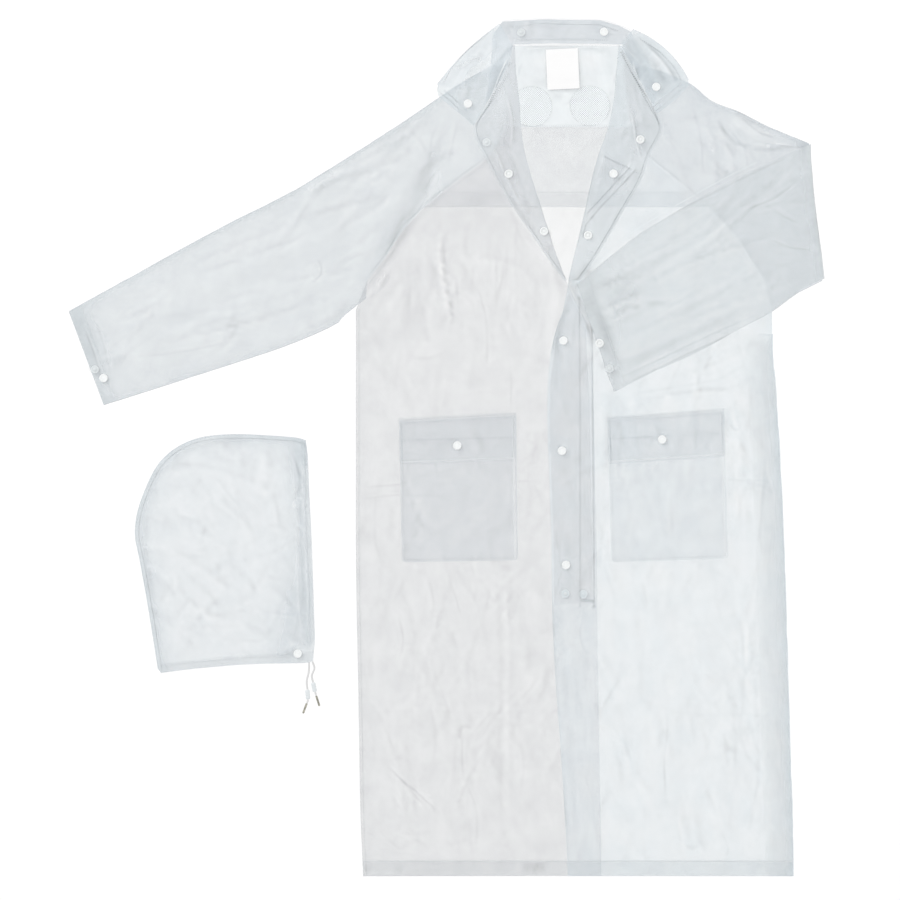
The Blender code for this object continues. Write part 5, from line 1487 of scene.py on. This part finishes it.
SLEEVE_RIGHT_PLIES = plies_of("sleeve_right", "lower", "cuff_lower", "cuff_upper", "upper")
FOREARM_PLIES = plies_of("forearm", "lower", "cuff_lower", "cuff_upper", "upper")
SLEEVE_LEFT_PLIES = plies_of("sleeve_left", "lower", "upper") + FOREARM_PLIES
FRONT_RIGHT_PLIES = plies_of("front_right", "hem", "body", "lapel")
FRONT_LEFT_PLIES = plies_of("front_left", "turn", "hem", "body", "lapel")
CUTS = {
    "back_cape": Cut(("cape", "cape.hem"), (0.43, 0.265)),
    "back_panel": Cut(("back", "back.hem"), (0.66, 1.27), ("back_cape",)),
    "back_yoke": Cut(("yoke",), (0.19, 0.122), ("back_panel",)),
    "sleeve_right": Cut(SLEEVE_RIGHT_PLIES, (0.5, 0.8), ("back_cape",), "folded"),
    "sleeve_left": Cut(SLEEVE_LEFT_PLIES, (0.5, 0.8), ("front_left",), "folded"),
    "front_right": Cut(FRONT_RIGHT_PLIES, (0.43, 1.27), ("back_panel",), "folded"),
    "front_left": Cut(FRONT_LEFT_PLIES, (0.47, 1.27), ("back_panel",), "folded"),
    "fly_lower": Cut(("fly_lower",), (0.068, 0.47), ("front_right",)),
    "fly_upper": Cut(("fly_upper",), (0.075, 0.12), ("front_left",)),
    "pocket_right": Cut(("pocket_right",), (0.178, 0.22), ("front_right",)),
    "pocket_left": Cut(("pocket_left",), (0.178, 0.22), ("front_left",)),
    "flap_right": Cut(("flap_right",), (0.178, 0.08), ("pocket_right",)),
    "flap_left": Cut(("flap_left",), (0.178, 0.08), ("pocket_left",)),
    "collar_stand": Cut(("stand",), (0.5, 0.05), ("front_right", "front_left"), "folded"),
    "collar_fall": Cut(("fall.back", "fall.leaves"), (0.62, 0.12), ("collar_stand",), "folded"),
    "hood_side_under": Cut(("hood.under",), (0.27, 0.36)),
    "hood_side_over": Cut(("hood.over",), (0.27, 0.36), ("hood_side_under",)),
    "hood_band": Cut(("hood.band",), (0.24, 0.018), ("hood_side_over",)),
    "hood_casing": Cut(("hood.casing",), (0.012, 0.33), ("hood_side_over",)),
}


def film_piece(node):
    cut = CUTS[node]
    obj = linked(f"{node}_film", film_mesh(f"{node}_film", cut.plies, fold_table().get(node, ())))
    wall = obj.modifiers.new("film", "SOLIDIFY")
    wall.thickness = FILM * MM
    wall.offset = 0
    wall.material_offset = 1
    obj.data.materials.append(film_material())
    obj.data.materials.append(lining_material())
    dressed(finished(obj), node)
    clear_of_light(obj)
    coat().area(cut.plies)
    return obj


def film_pieces(*nodes):
    for node in nodes:
        film_piece(node)


def clear_of_light(obj):
    """Film passes nearly all light on, so it throws no shade."""
    obj.visible_shadow = False
    obj.visible_diffuse = False
    obj.visible_glossy = False


# ---------------------------------------------------------------- materials
class Value:
    """A socket in a material, with arithmetic that adds Math nodes."""

    def __init__(self, shader, socket):
        self.shader = shader
        self.socket = socket

    def math(self, operation, *others):
        return self.shader.node("ShaderNodeMath", {"operation": operation}, *others)

    def __add__(self, other):
        return self.math("ADD", self, other)

    def __sub__(self, other):
        return self.math("SUBTRACT", self, other)

    def __mul__(self, other):
        return self.math("MULTIPLY", self, other)

    def __rsub__(self, other):
        return self.math("SUBTRACT", other, self)

    __radd__ = __add__
    __rmul__ = __mul__


class Shader:
    """A material made of nodes round one Principled BSDF."""

    def __init__(self, name):
        self.material = bpy.data.materials.new(name)
        self.material.use_nodes = True
        self.tree = self.material.node_tree
        self.principled = self.tree.nodes["Principled BSDF"]

    def feed(self, socket, value):
        """Links a value to a socket, or sets the socket to it. None leaves the socket as it is."""
        if isinstance(value, Value):
            self.tree.links.new(value.socket, socket)
        elif value is not None:
            socket.default_value = value

    def node(self, kind, settings=None, *inputs, output=0, **named):
        """Adds a node. Its inputs are given in their order or by name."""
        made = self.tree.nodes.new(kind)
        for setting, value in (settings or {}).items():
            setattr(made, setting, value)
        for index, value in enumerate(inputs):
            self.feed(made.inputs[index], value)
        for name, value in named.items():
            self.feed(made.inputs[name], value)
        return Value(self, made.outputs[output])

    def place(self, stretch=(1, 1, 1), turn=0.0):
        """Object coordinates in metres, stretched and turned about Z."""
        coords = self.node("ShaderNodeTexCoord", output="Object")
        return self.node("ShaderNodeMapping", None, coords, None, (0, 0, turn), stretch)

    def attribute(self, name, output="Fac"):
        return self.node("ShaderNodeAttribute", {"attribute_name": name}, output=output)

    def noise(self, place, scale, detail, roughness=None, settings=None):
        return self.node("ShaderNodeTexNoise", settings, place, None, scale, detail, roughness)

    def bands(self, direction, place, scale, uneven=0.3):
        settings = {"wave_type": "BANDS", "bands_direction": direction, "wave_profile": "SIN"}
        return self.node("ShaderNodeTexWave", settings, place, scale, uneven, 1.0)

    def bump(self, strength, height, depth):
        return self.node("ShaderNodeBump", None, strength, depth, Height=height)

    def steps(self, value, low, high, start=0.0, end=1.0):
        """Smooth change from start to end as value goes from low to high."""
        settings = {"interpolation_type": "SMOOTHSTEP"}
        return self.node("ShaderNodeMapRange", settings, value, low, high, start, end)

    def mix(self, factor, first, second):
        """A colour between two others. The sockets between the factor and the colours are for numbers."""
        settings = {"data_type": "RGBA", "clamp_factor": True}
        numbers = [None] * 5
        return self.node("ShaderNodeMix", settings, factor, *numbers, first, second, output=2)

    def scaled(self, color, share):
        return self.node("ShaderNodeVectorMath", {"operation": "SCALE"}, color, Scale=share)

    def set(self, **values):
        """Sets or links the Principled BSDF's sockets."""
        for key, value in values.items():
            self.feed(self.principled.inputs[key.replace("_", " ")], value)
        return self.material


def opaque(color, share=1.0):
    """A colour with full alpha, darkened to a share."""
    return (*(channel * share for channel in color[:3]), 1)


# The film's upper surface holds back this share of what its ply does, and its lower surface the other.
UPPER_SHARE = 0.68
LOWER_SHARE = 0.38


@cache
def film_material():
    """Creased clear film. Light passes it, and it dims more where it is creased or lies double."""
    look = bpy.context.scene.raincoat.film
    shader = Shader("film")
    cloth = shader.attribute("cloth", "Vector")
    flat = {"noise_dimensions": "2D"}
    drift = shader.noise(cloth, 10.0, 1.0, settings=flat)
    bent = shader.node("ShaderNodeVectorMath", {"operation": "ADD"}, cloth, drift * 0.06)
    swell = shader.noise(bent, 34.0, 2.0, 0.6, flat)
    fold = shader.noise(bent, 74.0, 1.0, 0.5, flat)
    ridge = (fold - 0.5).math("ABSOLUTE")
    crease = shader.steps(ridge, 0.0, 0.045, 1.0, 0.0) * shader.steps(drift, 0.40, 0.66)
    alpha = shader.attribute("haze") * (UPPER_SHARE * look.density)
    alpha = alpha + (swell - 0.5) * 0.07 + crease * 0.04
    tint = shader.attribute("tint", "Color")
    # The colour is paler on the swell's rises and along the fine creases; the pale crease lines are a painted
    # highlight.
    return shader.set(
        Base_Color=shader.mix(swell + crease * 0.4, shader.scaled(tint, 0.92), shader.scaled(tint, 1.10)),
        Roughness=look.roughness,
        Alpha=shader.node("ShaderNodeClamp", None, alpha, LEAST_HAZE, MOST_HAZE),
        Normal=shader.bump(look.crumple, swell + crease * 0.25, 0.004),
    )


@cache
def lining_material():
    """The other surface of the film, plainer, because the creases already show on the first."""
    look = bpy.context.scene.raincoat.film
    shader = Shader("film underside")
    alpha = shader.attribute("haze") * (LOWER_SHARE * look.density)
    tint = shader.attribute("tint", "Color")
    return shader.set(Base_Color=tint, Roughness=look.roughness + 0.1, Alpha=alpha)


FLOOR_COLOR = (0.93, 0.93, 0.93, 1)
COOL_PLASTIC = (0.98, 1.01, 1.03)  # plastic seen through film looks a little bluer
WORN_METAL = (0.60, 0.57, 0.48, 1)
THREAD_COLORS = (0.42, 0.47, 0.50, 1), (0.58, 0.63, 0.66, 1)
NET_COLORS = (0.66, 0.70, 0.72, 1), (0.71, 0.75, 0.77, 1)


@cache
def snap_material(strength=1.0):
    """Milky moulded plastic, slightly uneven in its gloss. Below full strength it is seen through film."""
    look = bpy.context.scene.raincoat.trim
    shader = Shader("snap plastic" if strength == 1 else "dull snap plastic")
    cloud = shader.noise(shader.place(), 220.0, 2.0)
    seen = [1 if strength == 1 else share * strength for share in COOL_PLASTIC]
    pale = opaque([channel * share for channel, share in zip(look.snap_color, seen)])
    return shader.set(
        Base_Color=shader.mix(cloud, opaque(pale, 0.9), pale),
        Roughness=shader.steps(cloud, 0.2, 0.8, 0.22, 0.4),
        Normal=shader.bump(0.12, cloud, 0.0004),
    )


@cache
def cord_material():
    """Braided cord: two sets of slanting strands."""
    color = bpy.context.scene.raincoat.trim.cord_color
    shader = Shader("braided cord")
    strands = (shader.bands("X", shader.place(turn=turn), 150.0, 0.4) for turn in (0.9, -0.9))
    braid = shader.node("ShaderNodeMath", {"operation": "MAXIMUM"}, *strands)
    base = shader.mix(braid, opaque(color, 0.72), opaque(color))
    return shader.set(Base_Color=base, Roughness=0.85, Normal=shader.bump(0.7, braid, 0.0005))


@cache
def tip_material():
    """Dark metal with bright worn places."""
    color = bpy.context.scene.raincoat.trim.tip_color
    shader = Shader("dark metal")
    wear = shader.noise(shader.place(), 260.0, 4.0, 0.65)
    return shader.set(
        Base_Color=shader.mix(shader.steps(wear, 0.5, 0.68), opaque(color), WORN_METAL),
        Metallic=0.9,
        Roughness=shader.steps(wear, 0.3, 0.7, 0.22, 0.45),
        Normal=shader.bump(0.2, wear, 0.0003),
    )


@cache
def label_material():
    """Bare woven label: fine ribs across, with a few thicker threads."""
    color = bpy.context.scene.raincoat.trim.label_color
    shader = Shader("woven label")
    place = shader.place(turn=math.radians(LABEL_TILT))
    slub = shader.noise(shader.place((30, 400, 1)), 1.0, 2.0)
    weave = shader.bands("Y", place, 190.0) * 0.6 + shader.bands("X", place, 260.0) * 0.4
    base = shader.mix(weave * 0.5 + slub * 0.5, opaque(color, 0.93), opaque(color))
    return shader.set(Base_Color=base, Roughness=0.6, Normal=shader.bump(0.4, weave + slub * 0.5, 0.0003))


@cache
def thread_material():
    """Grey sewing thread, twisted."""
    shader = Shader("sewing thread")
    twist = shader.bands("DIAGONAL", shader.place(), 900.0)
    base = shader.mix(twist, *THREAD_COLORS)
    return shader.set(Base_Color=base, Roughness=0.7, Normal=shader.bump(0.4, twist, 0.0002))


@cache
def net_material():
    """White knitted net."""
    shader = Shader("white net")
    fuzz = shader.noise(shader.place(), 900.0, 2.0)
    base = shader.mix(fuzz, *NET_COLORS)
    return shader.set(Base_Color=base, Roughness=0.7, Normal=shader.bump(0.3, fuzz, 0.0002))


# ---------------------------------------------------------------- small pieces
# Profiles turned round a snap's axis. Columns: radius, height above the film. Every kind stands on the post.
SNAP_POST = ((0.0, -1.0), (1.6, -1.0), (4.6, -1.0), (4.6, -0.5), (1.6, -0.4), (1.6, 0.0))
SNAP_PROFILES = {
    "cap": (
        (6.0, 0.0), (6.2, 0.35), (6.1, 1.0), (5.6, 1.45), (4.9, 1.5), (4.3, 1.25), (3.4, 1.1), (2.0, 1.2),
        (0.0, 1.3),
    ),
    "socket": (
        (6.0, 0.0), (6.2, 0.35), (6.0, 1.5), (5.4, 2.0), (4.5, 2.0), (4.0, 1.6), (3.8, 0.5), (2.3, 0.4),
        (2.1, 1.2), (1.5, 1.5), (0.0, 1.55),
    ),
    "stud": (
        (5.9, 0.0), (6.1, 0.3), (5.8, 0.8), (5.0, 0.9), (3.0, 0.7), (2.6, 1.0), (2.5, 1.8), (1.9, 2.2),
        (0.0, 2.25),
    ),
}
SNAP_SEAT = 9.0  # radius of the film that a snap sits level with
DULL_SNAP, DULL_LOCK = 0.82, 0.86  # brightness of the plastic under film, and of the cord locks
# Turned profiles of the cord's fittings. Columns: radius, distance along.
LOCK_PROFILE = (
    (1.7, 0.0), (2.5, 0.0), (3.2, 0.8), (3.5, 2.4), (3.5, 4.6), (3.1, 5.0), (3.1, 5.6), (3.5, 6.0),
    (3.5, 8.0), (3.1, 8.4), (3.1, 9.0), (3.5, 9.4), (3.5, 11.6), (3.2, 13.2), (2.5, 14.0), (1.7, 14.0),
)
TIP_PROFILE = (
    (0.0, 0.0), (1.5, 0.0), (1.35, 5.8), (1.35, 6.0), (1.65, 6.2), (1.75, 7.0), (1.5, 7.4), (1.6, 8.0),
    (1.7, 12.0), (1.55, 16.0), (1.7, 19.6), (1.5, 21.2), (0.9, 22.0), (0.0, 22.0),
)
TURN_STEPS, TIP_STEPS = 32, 20
FITTING_CLEAR = 0.1  # the cord's fittings lie this far above the surface
CORD_STEP = 2.4
SAME_CORNER = 1e-4


def turned(name, profile, place, steps=TURN_STEPS, ring_closed=False):
    """A profile turned once round Z, in millimetres, then put in place."""
    made = bmesh.new()
    corners = [made.verts.new((radius, 0, height)) for radius, height in profile]
    pairs = list(zip(corners, corners[1:])) + ([(corners[-1], corners[0])] if ring_closed else [])
    geom = corners + [made.edges.new(pair) for pair in pairs]
    whole = {"angle": 2 * math.pi, "steps": steps, "use_merge": True}
    bmesh.ops.spin(made, geom=geom, cent=(0, 0, 0), axis=(0, 0, 1), **whole)
    bmesh.ops.remove_doubles(made, verts=made.verts, dist=SAME_CORNER)
    bmesh.ops.recalc_face_normals(made, faces=made.faces)
    return mesh_object(name, made, 38.0, place)


def mesh_object(name, made, sharp=40.0, place=Matrix()):
    """An object with a bmesh's shape, drawn in millimetres, in place and shaded smooth up to an angle."""
    bmesh.ops.transform(made, matrix=place @ Matrix.Scale(MM, 4), verts=made.verts)
    data = bpy.data.meshes.new(name)
    made.to_mesh(data)
    made.free()
    data.shade_smooth()
    data.set_sharp_from_angle(angle=math.radians(sharp))
    return linked(name, data)


def snap_piece(name, node, spot, kind, ply):
    """A snap of one kind, set level through its ply."""
    heights = coat().height_at([spot, *ring(spot, SNAP_SEAT, 8)], ply) + FILM / 2
    slope = (heights[5] - heights[1]) / SNAP_SEAT, (heights[7] - heights[3]) / SNAP_SEAT
    place = Matrix.Translation(Vector((*spot, float(heights.mean()))) * MM)
    tilt = Vector((*slope, 1)).to_track_quat("Z", "Y").to_matrix().to_4x4()
    obj = turned(name, SNAP_POST + SNAP_PROFILES[kind], place @ tilt)
    return dressed(obj, node, snap_material(DULL_SNAP if kind == "stud" or not node else 1.0))


def lying_along(start, direction, height):
    """Places a turned piece so that it lies on the floor from a start along a direction."""
    turn = Vector((*direction, 0)).normalized().to_track_quat("Z", "Y").to_matrix().to_4x4()
    return Matrix.Translation(Vector((start[0], start[1], height)) * MM) @ turn


def drawcord_end(side):
    """One free end of the drawcord with its lock and its metal tip."""
    route = CORD_ROUTES[side]
    points = [Vector((*point, CORD_REST)) * MM for point in curved(route, CORD_STEP)]
    curve = bpy.data.curves.new(f"drawcord_{side}_braid", "CURVE")
    curve.dimensions = "3D"
    curve.bevel_depth = CORD_DIAMETER / 2 * MM
    curve.bevel_resolution = 4
    curve.use_fill_caps = True
    spline = curve.splines.new("POLY")
    spline.points.add(len(points) - 1)
    for target, point in zip(spline.points, points):
        target.co = (*point, 1)
    cord = dressed(linked(curve.name, curve), f"drawcord_{side}", cord_material())

    run = (Vector(route[-1]) - Vector(route[-2])).normalized()
    start = Vector(route[-1]) + run * LOCK_START
    lock_at = lying_along(start, run, LOCK_DIAMETER / 2 + FITTING_CLEAR)
    lock = turned(f"cord_lock_{side}_plastic", LOCK_PROFILE, lock_at, ring_closed=True)
    dressed(lock, f"cord_lock_{side}", snap_material(DULL_LOCK))
    tip_start = start + run * (LOCK_LENGTH + TIP_START)
    tip_at = lying_along(tip_start, CORD_ENDS[side], TIP_DIAMETER / 2 + FITTING_CLEAR)
    tip = turned(f"cord_tip_{side}_metal", TIP_PROFILE, tip_at, TIP_STEPS)
    dressed(tip, f"cord_tip_{side}", tip_material())
    tip.data.materials.append(cord_material())
    for face in tip.data.polygons:
        if (tip_at.inverted() @ face.center).z < CORD_PAST_LOCK * MM:
            face.material_index = 1
    for piece in (cord, lock, tip):
        clear_of_light(piece)


LABEL_WALL = 0.4
STITCH_PITCH = 3.3
STITCH_SIZE = (1.25, 0.28, 0.22)  # half its length, width and height
NET_PITCH = 2.3
NET_WIRE = 0.4
NET_FLATNESS = 0.6  # how high the wires are for their width
NET_RISE = 0.55  # of the net's middle above the middle of the yoke's film


def laid_on(made, ply, flatness=0.0, rise=0.0):
    """Puts a bmesh's corners on a ply."""
    heights = coat().height_at([vert.co.xy for vert in made.verts], ply)
    for vert, height in zip(made.verts, heights):
        vert.co.z = vert.co.z * flatness + float(height) + rise


def label_piece():
    """The neck label, bare: a sheet laid on its ply and given a thin wall."""
    made = bmesh.new()
    bmesh.ops.create_grid(made, x_segments=12, y_segments=15, size=0.5)
    place = Matrix.Translation((*LABEL_CENTER, 0)) @ Matrix.Rotation(math.radians(LABEL_TILT), 4, "Z")
    size = Matrix.Diagonal((LABEL_WIDTH, LABEL_HEIGHT, 1, 1))
    bmesh.ops.transform(made, matrix=place @ size, verts=made.verts)
    laid_on(made, "label")
    label = mesh_object("neck_label_cloth", made)
    wall = label.modifiers.new("wall", "SOLIDIFY")
    wall.thickness = LABEL_WALL * MM
    wall.offset = 0
    dressed(finished(label), "neck_label", label_material())


def stitch_pieces():
    """Rows of stitches along the sewn lines, one piece for each ply."""
    rows = {}
    for row in sewn_lines():
        if row.stitched:
            rows.setdefault(row.ply, []).append(row.line)
    for ply, lines in rows.items():
        made = bmesh.new()
        for line in lines:
            points = curved(line, STITCH_PITCH)
            heights = coat().height_at(points, ply) + FILM / 2
            spots = [Vector((x, y, float(z))) for (x, y), z in zip(points, heights)]
            for start, end in zip(spots, spots[1:]):
                turn = (end - start).to_track_quat("X", "Z").to_matrix().to_4x4()
                place = Matrix.Translation((start + end) / 2) @ turn @ Matrix.Diagonal((*STITCH_SIZE, 1))
                bmesh.ops.create_icosphere(made, subdivisions=1, radius=1.0, matrix=place)
        thread = mesh_object(ply.replace(".", "_") + "_stitches", made, 180)
        dressed(thread, None, thread_material())


def vent_piece(node):
    """A round of net: a grid turned on its corner, cut to a circle and made into wires."""
    made = bmesh.new()
    cells = round(VENT_DIAMETER / NET_PITCH) + 4
    center = Vector((*VENTS[node], 0))
    bmesh.ops.create_grid(made, x_segments=cells, y_segments=cells, size=cells * NET_PITCH / 2)
    turn = Matrix.Rotation(math.radians(45), 4, "Z")
    bmesh.ops.transform(made, matrix=Matrix.Translation(center) @ turn, verts=made.verts)
    outer = [face for face in made.faces if (face.calc_center_median() - center).length > VENT_DIAMETER / 2]
    bmesh.ops.delete(made, geom=outer, context="FACES")
    way = {"use_replace": True, "use_boundary": True, "use_even_offset": True}
    bmesh.ops.wireframe(made, faces=made.faces, thickness=NET_WIRE, **way)
    laid_on(made, "yoke", NET_FLATNESS, NET_RISE)
    net = mesh_object(f"{node}_net", made)
    dressed(net, node, net_material())
    clear_of_light(net)


# ---------------------------------------------------------------- settings
def slider(name, description, default, low=0.0, high=1.0):
    facts = {"name": name, "description": description, "subtype": "FACTOR"}
    return FloatProperty(**facts, default=default, min=low, max=high)


def lamp_power(name, description, default):
    return FloatProperty(name=name, description=description, subtype="POWER", default=default, min=0.0)


def swatch(name, description, default):
    return FloatVectorProperty(name=name, description=description, subtype="COLOR", default=default)


class RaincoatFilm(bpy.types.PropertyGroup):
    density: slider("Density", "How much light each surface of the film holds back", 1.0, 0.2, 3.0)
    roughness: slider("Roughness", "How soft the film's gloss is", 0.40)
    crumple: slider("Crumple", "Strength of the film's fine creases", 0.5)


class RaincoatTrim(bpy.types.PropertyGroup):
    snap_color: swatch("Snaps", "Colour of the plastic snaps", (0.86, 0.88, 0.88))
    cord_color: swatch("Cord", "Colour of the hood's drawcord", (0.74, 0.74, 0.74))
    label_color: swatch("Label", "Colour of the bare neck label", (0.90, 0.90, 0.90))
    tip_color: swatch("Tips", "Colour of the cord's metal tips", (0.34, 0.33, 0.28))


class RaincoatStage(bpy.types.PropertyGroup):
    sky: FloatProperty(name="Sky", description="Strength of the even light all round", default=0.80, min=0.0)
    key: lamp_power("Key light", "Power of the large soft light", 190.0)
    fill: lamp_power("Fill light", "Power of the second soft light", 80.0)


class RaincoatSettings(bpy.types.PropertyGroup):
    film: PointerProperty(type=RaincoatFilm)
    trim: PointerProperty(type=RaincoatTrim)
    stage: PointerProperty(type=RaincoatStage)


# ---------------------------------------------------------------- stage
VIEW_CENTER = (5.25, -3.75)  # middle of the photograph, on the surface
VIEW_SIZE = 1350.0  # width of the photograph, on the surface
LENS = 100.0
SENSOR = 36.0
FLOOR_SIZE = 12.0
FLOOR_DROP = 0.0005  # the floor lies this far under the coat, in metres
LAMPS = {"key": ((-4.0, 3.8, 4.6), 2.4), "fill": ((5.0, -2.4, 5.0), 2.2)}  # place and width, in metres


def stage():
    """Floor, soft studio light, and the camera straight above the coat."""
    scene = bpy.context.scene
    look = scene.raincoat.stage
    floor_mesh = bmesh.new()
    bmesh.ops.create_grid(floor_mesh, x_segments=1, y_segments=1, size=FLOOR_SIZE / 2)
    data = bpy.data.meshes.new("floor")
    floor_mesh.to_mesh(data)
    floor_mesh.free()
    floor = linked("floor", data)
    floor.data.transform(Matrix.Translation((0, 0, -FLOOR_DROP)))
    floor.data.materials.append(Shader("floor").set(Base_Color=FLOOR_COLOR, Roughness=0.9))

    world = bpy.data.worlds.new("studio")
    world.use_nodes = True
    background = world.node_tree.nodes["Background"]
    background.inputs["Color"].default_value = (1, 1, 1, 1)
    background.inputs["Strength"].default_value = look.sky
    scene.world = world
    for name, (place, size) in LAMPS.items():
        light = bpy.data.lights.new(name, "AREA")
        light.shape = "DISK"
        light.size = size
        light.energy = getattr(look, name)
        lamp = linked(name, light)
        lamp.location = place
        lamp.rotation_euler = (-Vector(place)).to_track_quat("-Z", "Y").to_euler()

    camera = bpy.data.cameras.new("camera")
    camera.lens = LENS
    camera.sensor_width = SENSOR
    eye = linked("camera", camera)
    eye.location = (VIEW_CENTER[0] * MM, VIEW_CENTER[1] * MM, VIEW_SIZE * MM * LENS / SENSOR)
    scene.camera = eye
    scene.view_settings.view_transform = "Standard"
    scene.cycles.transparent_max_bounces = 64


# ---------------------------------------------------------------- operators
class RAINCOAT_OT_stage(bpy.types.Operator):
    """Floor, soft studio light, and the camera straight above the coat"""

    bl_idname = "raincoat.stage"
    bl_label = "Stage"

    def execute(self, context):
        stage()
        return {"FINISHED"}


class RAINCOAT_OT_drawcord(bpy.types.Operator):
    """Both free ends of the hood's drawcord, with locks and tips"""

    bl_idname = "raincoat.drawcord"
    bl_label = "Drawcord"

    def execute(self, context):
        for side in CORD_ROUTES:
            drawcord_end(side)
        return {"FINISHED"}


class RAINCOAT_OT_back(bpy.types.Operator):
    """Back panel, cape and yoke"""

    bl_idname = "raincoat.back"
    bl_label = "Back"

    def execute(self, context):
        film_pieces("back_cape", "back_panel", "back_yoke")
        return {"FINISHED"}


class RAINCOAT_OT_sleeves(bpy.types.Operator):
    """Both raglan sleeves"""

    bl_idname = "raincoat.sleeves"
    bl_label = "Sleeves"

    def execute(self, context):
        film_pieces("sleeve_right", "sleeve_left")
        return {"FINISHED"}


class RAINCOAT_OT_fronts(bpy.types.Operator):
    """Both fronts with their lapels"""

    bl_idname = "raincoat.fronts"
    bl_label = "Fronts"

    def execute(self, context):
        film_pieces("front_right", "front_left")
        return {"FINISHED"}


class RAINCOAT_OT_fly(bpy.types.Operator):
    """The front's fly strip and its end"""

    bl_idname = "raincoat.fly"
    bl_label = "Fly"

    def execute(self, context):
        film_pieces("fly_lower", "fly_upper")
        return {"FINISHED"}


class RAINCOAT_OT_pockets(bpy.types.Operator):
    """Pockets and flaps"""

    bl_idname = "raincoat.pockets"
    bl_label = "Pockets"

    def execute(self, context):
        film_pieces(*POCKETS)
        return {"FINISHED"}


class RAINCOAT_OT_collar(bpy.types.Operator):
    """Collar stand and fall"""

    bl_idname = "raincoat.collar"
    bl_label = "Collar"

    def execute(self, context):
        film_pieces("collar_stand", "collar_fall")
        return {"FINISHED"}


class RAINCOAT_OT_hood(bpy.types.Operator):
    """Hood sides, band and casing"""

    bl_idname = "raincoat.hood"
    bl_label = "Hood"

    def execute(self, context):
        film_pieces("hood_side_under", "hood_side_over", "hood_band", "hood_casing")
        return {"FINISHED"}


class RAINCOAT_OT_neck(bpy.types.Operator):
    """The neck label and the two round vents under it"""

    bl_idname = "raincoat.neck"
    bl_label = "Label and Vents"

    def execute(self, context):
        label_piece()
        for node in VENTS:
            vent_piece(node)
        return {"FINISHED"}


class RAINCOAT_OT_snaps(bpy.types.Operator):
    """All snaps, each set through its ply"""

    bl_idname = "raincoat.snaps"
    bl_label = "Snaps"

    def execute(self, context):
        for node, (spot, kind, ply) in SNAPS.items():
            snap_piece(f"{node}_plastic", node, spot, kind, ply)
        for index, spot in enumerate(FLY_SNAPS):
            snap_piece(f"fly_snap_{index + 1}_plastic", None, spot, "stud", "fly_lower")
        return {"FINISHED"}


class RAINCOAT_OT_sewing(bpy.types.Operator):
    """Rows of stitches along the seams and the hems"""

    bl_idname = "raincoat.sewing"
    bl_label = "Sewing"

    def execute(self, context):
        stitch_pieces()
        return {"FINISHED"}


OPERATORS = (
    RAINCOAT_OT_stage, RAINCOAT_OT_drawcord, RAINCOAT_OT_back, RAINCOAT_OT_sleeves,
    RAINCOAT_OT_fronts, RAINCOAT_OT_fly, RAINCOAT_OT_pockets, RAINCOAT_OT_collar,
    RAINCOAT_OT_hood, RAINCOAT_OT_neck, RAINCOAT_OT_snaps, RAINCOAT_OT_sewing,
)


class RAINCOAT_PT_pieces(bpy.types.Panel):
    """The coat's settings, and a button for each group of its pieces"""

    bl_idname = "RAINCOAT_PT_pieces"
    bl_label = "Raincoat"
    bl_space_type = "VIEW_3D"
    bl_region_type = "UI"
    bl_category = "Raincoat"

    def draw(self, context):
        settings = context.scene.raincoat
        for group in (settings.film, settings.trim, settings.stage):
            box = self.layout.box()
            for name in group.__annotations__:
                box.prop(group, name)
        column = self.layout.column(align=True)
        for cls in OPERATORS:
            column.operator(cls.bl_idname)


CLASSES = (RaincoatFilm, RaincoatTrim, RaincoatStage, RaincoatSettings, *OPERATORS, RAINCOAT_PT_pieces)


def register():
    for cls in CLASSES:
        bpy.utils.register_class(cls)
    bpy.types.Scene.raincoat = PointerProperty(type=RaincoatSettings)


def unregister():
    del bpy.types.Scene.raincoat
    for cls in reversed(CLASSES):
        bpy.utils.unregister_class(cls)


def main():
    register()
    for cls in OPERATORS:
        group, name = cls.bl_idname.split(".")
        getattr(getattr(bpy.ops, group), name)()


if __name__ == "__main__":
    main()
